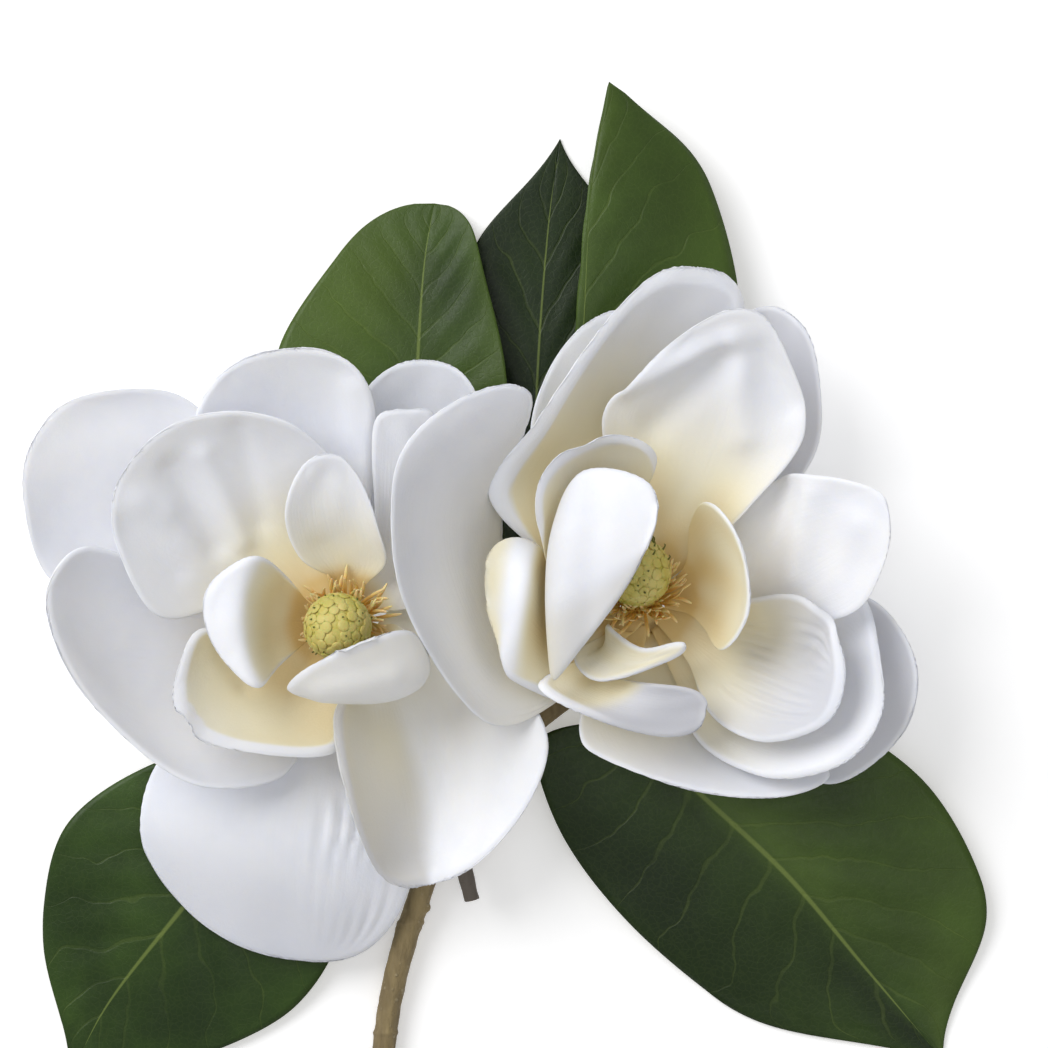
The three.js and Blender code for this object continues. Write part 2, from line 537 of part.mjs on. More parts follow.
// ---------------------------------------------------------------- leaves
// stations as for the petals, in units on the plan of the whole branch
const LEAVES = {
  leaf_top_left: {
    foot: [-28.3, -26.3, 9.4], point: 5,
    mid: [[-24, -7, 8], [-22.4, 13, 7], [-21.6, 35, 6], [-20.4, 53, 4], [-18.4, 65.6, 1.6]],
    left: [[-33, -3, 8.6], [-50, 17, 8], [-50, 36, 6], [-38, 55, 3], [-28, 67, 0.6]],
    right: [[-15, -3, 9], [-5, 15, 9], [-3.6, 31, 8], [-8.6, 53, 5.4], [-11, 66, 3]],
  },
  leaf_top_middle: {
    foot: [-0.3, -38.2, 7.4], point: 2.2,
    mid: [[1, -18, 5], [2, 9, 3.4], [3, 35, 2.4], [5, 61, 1.2], [7.4, 79, 0.4]],
    left: [[-4, -14, 4.6], [-11, 13, 3], [-14, 37, 2.2], [-10, 58, 1], [0, 74, 0.4]],
    right: [[8, -14, 4.6], [17, 13, 3], [20, 37, 2.2], [19, 61, 1.4], [13, 77, 0.4]],
  },
  leaf_top_right: {
    foot: [7.9, -31.2, 7.9], point: 5,
    mid: [[10, -13, 8], [10, 11, 8.6], [12, 39, 13.5], [13.6, 67, 14], [17.4, 90, 8]],
    left: [[6, -13, 7.4], [14, 11, 4.8], [22, 41, 6.6], [24, 67, 7], [20.6, 86, 6]],
    right: [[22, -11, 8.6], [39, 13, 8], [44, 41, 8.5], [38, 69, 9], [25, 86.6, 7]],
  },
  leaf_low_left: {
    foot: [-27, -40.7, 8.8], point: 2.2,
    mid: [[-39, -47, 7.6], [-55, -61, 7], [-71, -80, 6], [-85, -98, 3], [-93, -113, 0.4]],
    left: [[-37, -56, 7], [-36, -79, 5], [-47, -99, 3], [-69, -110, 1], [-85, -115, 0.4]],
    right: [[-47, -44, 8], [-71, -47, 8], [-93, -61, 6], [-99, -85, 3], [-98, -103, 0.5]],
  },
  leaf_low_right: {
    foot: [15.3, -32.8, 7.6], point: 2.2,
    mid: [[24, -44, 7.4], [37, -56, 7], [54, -72, 6], [70, -91, 3], [86, -110, 0.4]],
    left: [[38, -32, 8], [60, -38, 8], [83, -54, 6], [95.6, -80, 3], [94, -103, 0.5]],
    right: [[2, -40, 6.4], [7, -62, 5], [22, -82, 3], [46, -102, 0.8], [70, -114, 0.4]],
  },
};
const LEAF_COLS = 8;
const LEAF_ROWS = 13;

function leaf(spec) {
  const place = (p) => vec(p).multiplyScalar(UNIT);
  const foot = place(spec.foot);
  const mid = [foot, ...spec.mid.map(place)];
  const heading = mid[1].clone().sub(foot).normalize();
  const beside = new THREE.Vector3(-heading.y, heading.x, 0).normalize();
  const edge = (list, side) => [
    foot.clone().addScaledVector(beside, (side * STALK_WIDTH) / 2), ...list.map(place)];
  const left = edge(spec.left, 1);
  const right = edge(spec.right, -1);
  const last = mid.length - 1;
  const stalk = 0.55 / last;
  const widen = (v) => {
    const open = THREE.MathUtils.smoothstep(v, stalk * 0.7, 1.35 / last);
    const point = Math.max((v - 1) * last / 1.3 + 1, 0);
    const close = 1 - point ** spec.point;
    return [open, close];
  };
  const middle = (u, v) => {
    const m = along(mid, v);
    const [open, close] = widen(v);
    const least = (STALK_WIDTH / 2) * (1 - v);
    const reach = (line, side) => {
      const full = along(line, v).sub(m);
      const long = Math.max(full.length(), 1e-6);
      const plain = beside.clone().multiplyScalar(side * least);
      return plain.lerp(full.multiplyScalar(Math.max(close, least / long)), open);
    };
    const a = reach(left, 1);
    const b = reach(right, -1);
    if (v >= 1) return m;
    return m.addScaledVector(b.clone().sub(a), u / 2).addScaledVector(a.add(b), (u * u) / 2);
  };
  const thick = (u, v) => {
    const stem = 1 - THREE.MathUtils.smoothstep(v, stalk, 1.2 / last);
    const rib = Math.abs(u) < 0.1 ? (MIDRIB_THICK - LEAF_THICK) * (1 - 0.8 * v) : 0;
    return Math.max(LEAF_THICK + rib, stem * STALK_WIDTH * 0.8);
  };
  const across = [-1, -0.68, -0.36, -0.08, 0, 0.08, 0.36, 0.68, 1];
  const downs = [];
  for (let i = 0; i <= LEAF_ROWS; i += 1) downs.push((i / LEAF_ROWS) ** 0.95);
  return sheet(LEAF_COLS, across, downs, middle, thick);
}

// ---------------------------------------------------------------- assembly
const white = (tone) => ({ color: tone, roughness: 0.55 });
const pieces = [];
for (const [name, spec] of Object.entries(LEFT_PETALS)) {
  pieces.push([name, petal(LEFT, spec), white(0xf4f3ee)]);
}
for (const [name, spec] of Object.entries(RIGHT_PETALS)) {
  pieces.push([name, petal(RIGHT, spec), white(0xf4f3ee)]);
}
pieces.push(["left_centre", centreCone(LEFT, 11), { color: 0xb9b45a, roughness: 0.7 }]);
pieces.push(["right_centre", centreCone(RIGHT, 12), { color: 0xb9b45a, roughness: 0.7 }]);
pieces.push(["left_stamens", stamenRing(LEFT, 21), { color: 0xd6b869, roughness: 0.7 }]);
pieces.push(["right_stamens", stamenRing(RIGHT, 22), { color: 0xd6a850, roughness: 0.7 }]);
pieces.push(["branch", wood(), { color: 0x63563a, roughness: 0.85 }]);
for (const [name, spec] of Object.entries(LEAVES)) {
  pieces.push([name, leaf(spec), { color: 0x2f4a22, roughness: 0.4 }]);
}

const group = new THREE.Group();
group.name = "magnolia_branch";
for (const [name, geometry, look] of pieces) {
  geometry.translate(MIDDLE[0], MIDDLE[1], 0);
  const mesh = new THREE.Mesh(geometry, new THREE.MeshStandardMaterial({ metalness: 0, ...look }));
  mesh.name = name;
  group.add(mesh);
}

export default group;
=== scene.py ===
"""Magnolia branch: two open white flowers, five leaves and the woody shoot.

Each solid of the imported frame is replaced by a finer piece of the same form.
"""
import math

import bpy
import numpy as np
from bpy.props import FloatProperty, FloatVectorProperty, IntProperty, PointerProperty
from mathutils import Matrix, Vector, noise


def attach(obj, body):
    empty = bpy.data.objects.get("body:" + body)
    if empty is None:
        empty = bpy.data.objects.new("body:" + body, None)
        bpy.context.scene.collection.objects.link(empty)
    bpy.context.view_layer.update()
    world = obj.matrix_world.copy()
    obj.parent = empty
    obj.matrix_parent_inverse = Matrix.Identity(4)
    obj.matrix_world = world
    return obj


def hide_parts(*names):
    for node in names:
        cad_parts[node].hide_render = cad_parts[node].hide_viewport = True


bl_info = {
    "name": "Magnolia branch",
    "version": (1, 0, 0),
    "blender": (4, 5, 0),
    "location": "3D View > Sidebar > Magnolia",
    "description": "Builds a cut magnolia branch with two open flowers",
    "category": "Add Mesh",
}

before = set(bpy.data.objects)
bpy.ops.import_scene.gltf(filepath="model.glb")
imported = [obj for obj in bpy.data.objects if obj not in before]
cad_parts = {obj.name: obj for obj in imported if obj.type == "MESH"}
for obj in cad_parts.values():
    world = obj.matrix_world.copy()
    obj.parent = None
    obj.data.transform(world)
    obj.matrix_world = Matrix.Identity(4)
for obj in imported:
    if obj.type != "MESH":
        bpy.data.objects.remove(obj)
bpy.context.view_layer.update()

# ---------------------------------------------------------------- sizes, as in the solids
MM = 0.001  # the tables are in millimetres and units, Blender is in metres
FLOWER_WIDTH = 180.0  # one open flower, rim to rim, mm
UNIT = FLOWER_WIDTH / 100  # stations are in hundredths of a flower
MIDDLE = np.array([4.5, 63.0, 0.0])  # plan middle of the whole outline, mm
SEAT_GAP = 0.3  # clearance between two pieces that touch in life

PETAL_THICK, RIM_THICK = 0.75, 0.3
CLAW_THICK, CLAW_WIDTH = 1.6, 8.6  # a petal's foot
TIER_STEP = 3.5  # height from one whorl of petals to the next
TIP_SHARE = 1.15  # stretches of stations that the rounded tip takes up
PETAL_COLS, PETAL_ROWS = 56, 76

LEAF_THICK, STALK_WIDTH = 0.7, 3.4
LEAF_COLS, LEAF_ROWS = 72, 110
ROUND_POINT = 4  # leaves with a higher point value than this end in a round tip
STALK_END = 0.55  # stretches of stations that the bare stalk takes up
LEAF_VEIN_PAIRS = 11
FLOOR_GAP = 0.02  # a leaf's lowest points stay this far above the floor
LEAF_LOW = LEAF_THICK * 0.6 + FLOOR_GAP  # and its middle surface this far

RECEPTACLE_RADIUS = 7.4  # the end of the wood, which carries the petals
FOOT_RADIUS = RECEPTACLE_RADIUS + SEAT_GAP + 0.5  # where the petals' feet stand
SPIGOT_RADIUS, SPIGOT_HEIGHT = 5.2, 4.3  # the peg on it, which carries stamens and centre
SPIGOT_FOOT = 3 * TIER_STEP + 4
CONE_RADIUS, CONE_HEIGHT = 12.6, 26.5
CONE_FOOT = SPIGOT_FOOT + SPIGOT_HEIGHT + SEAT_GAP
CARPELS = 120
GOLDEN_ANGLE = 2.39996  # radians from one carpel to the next
STAMEN_ROWS, STAMENS_A_ROW, STAMEN_LENGTH = 4, 36, 12.5

LEFT = {"centre": [-35.8, -19.2, 15], "lean": [6, 225]}
RIGHT = {"centre": [24.2, -18.2, 13.5], "lean": [30, 100]}

# tier: 0 outermost. at: direction in which the petal leaves the wood, degrees.
# mid, left, right: stations along the midrib and the two margins, foot to tip, in units
# from the flower's centre, heights from the ground. blunt: squareness of the tip.
# curl: how far the rim lifts, mm. wave: height in mm, waves along the rim and their phase.
LEFT_PETALS = {
    "left_petal_far_left": {
        "tier": 0, "at": 160, "blunt": 2.6, "curl": 1.5, "wave": [1, 2.5, 0.3],
        "mid": [[-15, 9, 14], [-29, 18, 15], [-44, 27, 20], [-61, 38, 29]],
        "left": [[-18, 2, 15], [-35, 2, 17], [-57, 6, 24], [-70, 22, 35]],
        "right": [[-11, 16, 15], [-21, 32, 17], [-33, 45, 21], [-52, 50, 30]],
    },
    "left_petal_top": {
        "tier": 1, "at": 98, "blunt": 2.6, "curl": 1.5, "wave": [0.8, 2, 0.1],
        "mid": [[-2, 12, 16], [-6, 26, 18], [-10, 40, 23], [-12, 54, 32]],
        "left": [[-7, 11, 17], [-18, 20, 20], [-30, 34, 26], [-32, 50, 34]],
        "right": [[3.4, 13, 17], [5.6, 26, 20], [6.4, 40, 26], [6, 54, 34]],
    },
    "left_petal_behind": {
        "tier": 0, "at": 62, "blunt": 2.4, "curl": 1, "wave": [0.6, 2, 0.5],
        "mid": [[5, 12, 12.5], [9, 26, 13], [13, 39, 16], [16.6, 52, 22]],
        "left": [[1, 12, 12.5], [0, 26, 13], [1.4, 40, 17], [4, 52, 24]],
        "right": [[9, 11, 12.5], [19, 22, 14], [27, 36, 18], [30, 50, 25]],
    },
    "left_petal_bottom": {
        "tier": 0, "at": 250, "blunt": 2.6, "curl": 1, "wave": [0.8, 3, 0.2],
        "mid": [[-4, -16, 13], [-8, -32, 14.5], [-11, -48, 15], [-10, -69.4, 7.4]],
        "left": [[3, -16, 13], [10, -32, 12.5], [13, -50, 11.5], [10, -71, 6]],
        "right": [[-13, -14, 13], [-36, -26, 12.5], [-42, -43, 11], [-37, -66, 6]],
    },
    "left_petal_bowl": {
        "tier": 1, "at": 205, "blunt": 2.4, "curl": 2, "wave": [0.6, 2, 0.6],
        "mid": [[-15, -6, 16], [-29, -9, 17.5], [-44, -9, 24], [-58, -3, 35]],
        "left": [[-7, -20, 17], [-13, -32, 20], [-29, -33.6, 28], [-48, -25, 35]],
        "right": [[-16, 3, 17], [-31, 8, 20], [-50, 15, 29], [-61, 15, 37]],
    },
    "left_petal_inner_left": {
        "tier": 2, "at": 140, "blunt": 2.4, "curl": 1.5, "wave": [0.8, 2, 0.9],
        "mid": [[-9, 10, 19], [-18, 19, 22], [-29, 26, 28], [-42, 32, 36]],
        "left": [[-14, 4, 19.5], [-26, 2, 24], [-38, 1, 32], [-51, 16, 39]],
        "right": [[-4, 14, 20], [0, 27, 26], [-9, 39, 33], [-27, 47, 39]],
    },
    "left_petal_small_top": {
        "tier": 3, "at": 95, "blunt": 2.3, "curl": 1, "wave": [0.4, 2, 0],
        "mid": [[0.6, 8, 23], [-0.6, 15, 26.4], [-2.4, 23, 31], [-3.6, 33, 36]],
        "left": [[-2.5, 8, 23.5], [-9, 12.4, 28], [-12, 21, 33], [-11, 33, 37]],
        "right": [[4.6, 7.6, 23.5], [8.4, 12, 27], [6.4, 21, 32], [2.4, 34, 37]],
    },
    "left_petal_small_left": {
        "tier": 3, "at": 178, "blunt": 2.4, "curl": 1.5, "wave": [0.4, 2, 0],
        "mid": [[-9, 0, 21.6], [-15, 0, 27], [-20, 0.4, 37.5], [-27, 0.8, 37]],
        "left": [[-8, -4.6, 21.4], [-13, -9, 27], [-16.6, -13.4, 35.6], [-20, -14, 36.4]],
        "right": [[-8, 4, 22], [-12, 9, 26.6], [-17, 13, 37], [-24, 12.4, 38]],
    },
    "left_petal_cup": {
        "tier": 2, "at": 235, "blunt": 3, "curl": 2, "wave": [0.5, 2, 0.4],
        "mid": [[-7, -8, 18.5], [-12, -13, 20], [-22, -16, 26], [-31.4, -20, 34]],
        "left": [[-1, -12, 19], [0, -19, 21], [-2.4, -27, 26], [-22, -26.6, 35]],
        "right": [[-12, -5, 19.5], [-20, -3, 23], [-29, -1.6, 31], [-34, -10, 36]],
    },
    "left_petal_bottom_right": {
        "tier": 1, "at": 300, "blunt": 2.7, "curl": 1.5, "wave": [0.6, 2, 0.7],
        "mid": [[8, -12, 16], [13, -25, 16.6], [17, -38, 17.6], [17, -53, 22]],
        "left": [[15, 5, 15.6], [32.6, -11, 16], [41, -25, 19.4], [36, -47, 26]],
        "right": [[1, -14, 18], [-2, -18.6, 27], [0.6, -36, 31], [4.6, -54, 29]],
    },
    "left_petal_small_right": {
        "tier": 3, "at": 315, "blunt": 3.4, "curl": 1, "wave": [0.3, 2, 0],
        "mid": [[6.6, -7, 22.5], [12, -13.4, 27], [12, -14, 36], [3.6, -4.4, 44]],
        "left": [[10, -1, 22.5], [15.4, -5, 27], [16.2, -4, 32], [14, 0.6, 36]],
        "right": [[1, -10, 22.5], [-2, -15.4, 28], [-9.6, -15.8, 33.4], [-15.6, -12, 38]],
    },
    "left_petal_narrow": {
        "tier": 2, "at": 50, "blunt": 5, "curl": 1, "wave": [0.3, 2, 0],
        "mid": [[8, 9, 19.5], [10.8, 19.6, 22.6], [12.4, 31, 27.4], [13, 42, 31]],
        "left": [[4.6, 12, 20], [5.8, 21, 24.5], [5.4, 32, 28.6], [5.4, 42, 32.4]],
        "right": [[13.4, 3, 19.5], [15.6, 14, 22], [18.6, 29, 26], [18.4, 42.6, 29.6]],
    },
}

RIGHT_PETALS = {
    "right_petal_behind_left": {
        "tier": 0, "at": 127, "blunt": 2.5, "curl": 1, "wave": [0.5, 2, 0],
        "mid": [[-4, 11, 13], [-8, 25, 13], [-11, 40, 16], [-9, 60, 22]],
        "left": [[-8, 9, 13], [-17, 21, 14], [-23, 35, 18], [-22, 53, 24]],
        "right": [[0, 11, 13], [1, 25, 13], [1, 43, 16], [0, 64, 22]],
    },
    "right_petal_top": {
        "tier": 1, "at": 110, "blunt": 2.8, "curl": 2, "wave": [0.6, 2, 0.3],
        "mid": [[-4, 11, 14.9], [-7, 27, 16.2], [-3, 45, 20], [10, 68.6, 29]],
        "left": [[-16, 9, 17.6], [-31, 23, 27.6], [-21, 39, 33.6], [-2, 70, 35]],
        "right": [[3, 13, 14.8], [9, 29, 16.2], [17, 45, 19.6], [27, 68, 27]],
    },
    "right_petal_inner_top": {
        "tier": 2, "at": 80, "blunt": 2.1, "curl": 1.5, "wave": [0.6, 2, 0.3],
        "mid": [[4, 11, 16.8], [8, 23, 20], [14, 41, 25], [19.4, 61, 36]],
        "left": [[-1, 12, 16.4], [-6, 27, 20], [-8.6, 41, 27], [-1, 56, 35]],
        "right": [[9, 10, 18], [21, 21, 23.6], [32, 36, 28.6], [31, 54, 35]],
    },
    "right_petal_behind_right": {
        "tier": 0, "at": 58, "blunt": 2.6, "curl": 1, "wave": [0.6, 2, 0.3],
        "mid": [[7, 9, 12], [15, 23, 12], [23, 41, 14], [30, 60, 19]],
        "left": [[4, 11, 12], [7, 27, 12.5], [11, 47, 14], [18, 66, 19]],
        "right": [[10, 7, 12], [23, 17, 12.5], [34.6, 32, 16], [38, 50, 22]],
    },
    "right_petal_right": {
        "tier": 1, "at": 16, "blunt": 3, "curl": 1.5, "wave": [0.8, 3, 0.3],
        "mid": [[12, 2.6, 17], [24, 6, 20], [36, 13, 27], [48.4, 20, 36]],
        "left": [[11, 8, 16.4], [19, 20, 19], [29, 28, 26], [46, 28, 36]],
        "right": [[12, -2, 18], [25, -3, 21], [41, 0, 29], [49, 8, 36]],
    },
    "right_petal_cup": {
        "tier": 2, "at": 332, "blunt": 2.5, "curl": 1.5, "wave": [0.5, 3, 0.3],
        "mid": [[11, -4, 20.5], [20, -8, 23.5], [29, -11.4, 28], [38.6, -15, 34.6]],
        "left": [[12, 1, 21.5], [22, 3.6, 25.6], [31, 4, 30.4], [40, -1, 35.4]],
        "right": [[9, -10, 20.5], [13, -20, 25], [22, -25.4, 28.8], [35, -26, 33.8]],
    },
    "right_petal_crescent": {
        "tier": 1, "at": 318, "blunt": 2.6, "curl": 1.5, "wave": [0.5, 3, 0.1],
        "mid": [[11, -8, 16.5], [22, -14.4, 18], [34, -18.6, 23], [45, -23, 32]],
        "left": [[14, -4, 16], [30, 0, 17.2], [43.6, 4.4, 22], [50, -11, 31]],
        "right": [[7, -15, 17], [11, -26, 20.5], [23, -32.6, 25], [37, -34, 30]],
    },
    "right_petal_low": {
        "tier": 0, "at": 275, "blunt": 2.4, "curl": 1, "wave": [0.6, 3, 0.1],
        "mid": [[2, -10, 14], [6, -19, 14.5], [11, -28, 18], [17, -36.4, 24]],
        "left": [[9, -9, 13.5], [22, -18, 14.5], [36, -30, 18.5], [43, -37, 23]],
        "right": [[-5, -11, 14.5], [-12, -18, 17], [-12.4, -26.6, 20], [-5, -32, 23]],
    },
    "right_petal_far_right": {
        "tier": 0, "at": 350, "blunt": 2.6, "curl": 1, "wave": [0.6, 2, 0.1],
        "mid": [[11, -3, 12], [27, -7, 12], [42, -13, 15], [54.6, -17, 21]],
        "left": [[11, 1, 12], [27, 5, 13], [44, 4, 17], [54, -1, 22]],
        "right": [[9, -9, 11], [21, -19, 11], [35, -34, 13], [48, -34, 19]],
    },
    "right_petal_over_centre": {
        "tier": 3, "at": 180, "blunt": 3, "curl": 0.5, "wave": [0.3, 2, 0.1],
        "mid": [[-11, -1, 21], [-19, 4, 28], [-17, 11, 39], [1.6, 18, 45]],
        "left": [[-10, -6, 21.4], [-17.6, -11, 28.4], [-18, -12.8, 33.6], [-9, -5, 39]],
        "right": [[-11, 4, 21], [-18, 16, 28], [-14.4, 28.2, 37], [-1, 31.4, 42]],
    },
    "right_petal_rolled": {
        "tier": 2, "at": 142, "blunt": 2.8, "curl": 1.2, "wave": [0.3, 2, 0.1],
        "mid": [[-8, 9.6, 18.2], [-13, 21, 23], [-12.6, 29.6, 32], [-12.4, 34.2, 38.6]],
        "left": [[-11, 4, 19.8], [-19, 8.6, 24.2], [-21.4, 17.2, 30], [-24, 24.6, 38]],
        "right": [[-2.6, 14, 17.6], [0, 24, 25], [2.4, 30.6, 33], [2, 35, 39.4]],
    },
    "right_petal_left_cup": {
        "tier": 1, "at": 192, "blunt": 3.5, "curl": 1.5, "wave": [0.4, 2, 0.1],
        "mid": [[-10, -4, 17.2], [-18.8, -2.6, 20], [-24, 3.4, 31.4], [-31.6, 6, 26]],
        "left": [[-8, -10.6, 16.8], [-14, -18.2, 18.6], [-26.8, -13, 25.4], [-28.4, -6.6, 28]],
        "right": [[-11, 3, 17.3], [-18.6, 9, 20.2], [-22.4, 14.2, 24.4], [-29.6, 17.2, 29]],
    },
    "right_petal_low_tongue": {
        "tier": 2, "at": 258, "blunt": 3.4, "curl": 1, "wave": [0.3, 2, 0.1],
        "mid": [[-6, -9.6, 19.4], [-13, -14.6, 24.4], [-2, -18.6, 29.4], [11.6, -19.8, 31]],
        "left": [[-1, -9, 19.5], [-6, -12, 25], [2, -13.6, 29.6], [11.4, -13.8, 32]],
        "right": [[-12, -8.6, 20], [-21.4, -13.6, 26.2], [-10, -20.8, 30], [7.4, -26.6, 30]],
    },
    "right_petal_small_low": {
        "tier": 3, "at": 250, "blunt": 2.6, "curl": 0.8, "wave": [0.3, 2, 0.1],
        "mid": [[-4.6, -4.8, 22], [-9, -7.4, 27.4], [-3, -9.8, 31], [7.8, -6.2, 34]],
        "left": [[-3, -3.6, 22], [-7.6, -1.8, 27.6], [-0.6, -6.6, 31.8], [7.6, -4.6, 34.5]],
        "right": [[-8, -4, 22], [-14.4, -8, 28], [-9, -13.2, 31], [7.6, -8.8, 33]],
    },
    "right_petal_small_right": {
        "tier": 3, "at": 5, "blunt": 2.5, "curl": 1, "wave": [0.3, 2, 0.1],
        "mid": [[8.6, 5, 21], [13, 7, 26], [17, 8.6, 34], [20.4, 7, 42]],
        "left": [[8.2, 10, 21.8], [9.4, 18, 24.6], [11.6, 22.6, 31], [15, 24, 39.6]],
        "right": [[9, 0, 22], [12.4, -3, 26], [15, -7, 32], [18.2, -6.6, 39]],
    },
    "right_petal_far_left": {
        "tier": 0, "at": 200, "blunt": 2.4, "curl": 1, "wave": [0.6, 2, 0.1],
        "mid": [[-11, -10, 14], [-25, -16, 20], [-38, 1, 27], [-41, 23, 33], [-25, 45.4, 39]],
        "left": [[-15, -16, 15.5], [-32, -21.6, 25], [-48, 2, 38], [-50.6, 26, 42], [-44, 46, 43]],
        "right": [[-10, -6, 13.5], [-19, -11, 16], [-27, 6, 17], [-28.4, 20, 19], [-22, 39, 33]],
    },
}

# x, y, z and radius at each station, in units
WOOD = {
    "twig": [[-33, -160, 2.3, 2.4], [-31, -130, 2.5, 2.4], [-27, -96, 3.4, 2.45],
        [-20, -72, 5.2, 2.5], [-15, -58, 7, 2.6]],
    "left_shoot": [[-15.5, -60, 6.8, 2.6], [-21, -46, 8.6, 2.4], [-30, -31, 9.5, 2.4],
        [-35, -21, 10.5, 2.5]],
    "right_shoot": [[-14.5, -59, 6.8, 2.5], [-4, -46, 7.4, 2.3], [10, -34, 7.6, 2.3],
        [24.6, -21.6, 9.2, 2.4]],
    "stub": [[-15, -62, 6.8, 2.1], [-12.8, -68, 6.6, 1.8], [-10.6, -76.8, 6.2, 1.65]],
}

# foot: where the stalk leaves the wood. point: how late and how roundly the tip closes.
LEAVES = {
    "leaf_top_left": {
        "foot": [-28.3, -26.3, 9.4], "point": 5,
        "mid": [[-24, -7, 8], [-22.4, 13, 7], [-21.6, 35, 6], [-20.4, 53, 4], [-18.4, 65.6, 1.6]],
        "left": [[-33, -3, 8.6], [-50, 17, 8], [-50, 36, 6], [-38, 55, 3], [-28, 67, 0.6]],
        "right": [[-15, -3, 9], [-5, 15, 9], [-3.6, 31, 8], [-8.6, 53, 5.4], [-11, 66, 3]],
    },
    "leaf_top_middle": {
        "foot": [-0.3, -38.2, 7.4], "point": 2.2,
        "mid": [[1, -18, 5], [2, 9, 3.4], [3, 35, 2.4], [5, 61, 1.2], [7.4, 79, 0.4]],
        "left": [[-4, -14, 4.6], [-11, 13, 3], [-14, 37, 2.2], [-10, 58, 1], [0, 74, 0.4]],
        "right": [[8, -14, 4.6], [17, 13, 3], [20, 37, 2.2], [19, 61, 1.4], [13, 77, 0.4]],
    },
    "leaf_top_right": {
        "foot": [7.9, -31.2, 7.9], "point": 5,
        "mid": [[10, -13, 8], [10, 11, 8.6], [12, 39, 13.5], [13.6, 67, 14], [17.4, 90, 8]],
        "left": [[6, -13, 7.4], [14, 11, 4.8], [22, 41, 6.6], [24, 67, 7], [20.6, 86, 6]],
        "right": [[22, -11, 8.6], [39, 13, 8], [44, 41, 8.5], [38, 69, 9], [25, 86.6, 7]],
    },
    "leaf_low_left": {
        "foot": [-27, -40.7, 8.8], "point": 2.2,
        "mid": [[-39, -47, 7.6], [-55, -61, 7], [-71, -80, 6], [-85, -98, 3], [-93, -113, 0.4]],
        "left": [[-37, -56, 7], [-36, -79, 5], [-47, -99, 3], [-69, -110, 1], [-85, -115, 0.4]],
        "right": [[-47, -44, 8], [-71, -47, 8], [-93, -61, 6], [-99, -85, 3], [-98, -103, 0.5]],
    },
    "leaf_low_right": {
        "foot": [15.3, -32.8, 7.6], "point": 2.2,
        "mid": [[24, -44, 7.4], [37, -56, 7], [54, -72, 6], [70, -91, 3], [86, -110, 0.4]],
        "left": [[38, -32, 8], [60, -38, 8], [83, -54, 6], [95.6, -80, 3], [94, -103, 0.5]],
        "right": [[2, -40, 6.4], [7, -62, 5], [22, -82, 3], [46, -102, 0.8], [70, -114, 0.4]],
    },
}

# leaf scars on the twig: x, y, z in units
SCARS = [[-21.6, -78.2, 4.2], [-25.4, -88.4, 3.4], [-30, -112, 2.6]]
# ring scars: distance down the twig in units, height in mm
RING_SCARS = [(63.0, 0.35), (81.5, 0.5), (82.6, 0.3), (104.0, 0.45), (131.0, 0.45)]

CAMERA_PLACE = (0.0045, 0.063, 2.0)  # straight above the middle of the picture, m
CAMERA_LENS = 186.07  # mm
LIGHT_AIM = (-0.01, 0.05, 0.03)  # m
# name, place and width in m, share of the power, colour
LIGHTS = [
    ("Main light", (-1.15, 0.95, 1.35), 1.6, 0.96, (0.99, 0.99, 1.0)),
    ("Top light", (0.3, -0.2, 2.6), 1.6, 0.22, (0.99, 0.99, 1.0)),
]
FLOOR_HALF = 2.5  # half the width of the floor, m

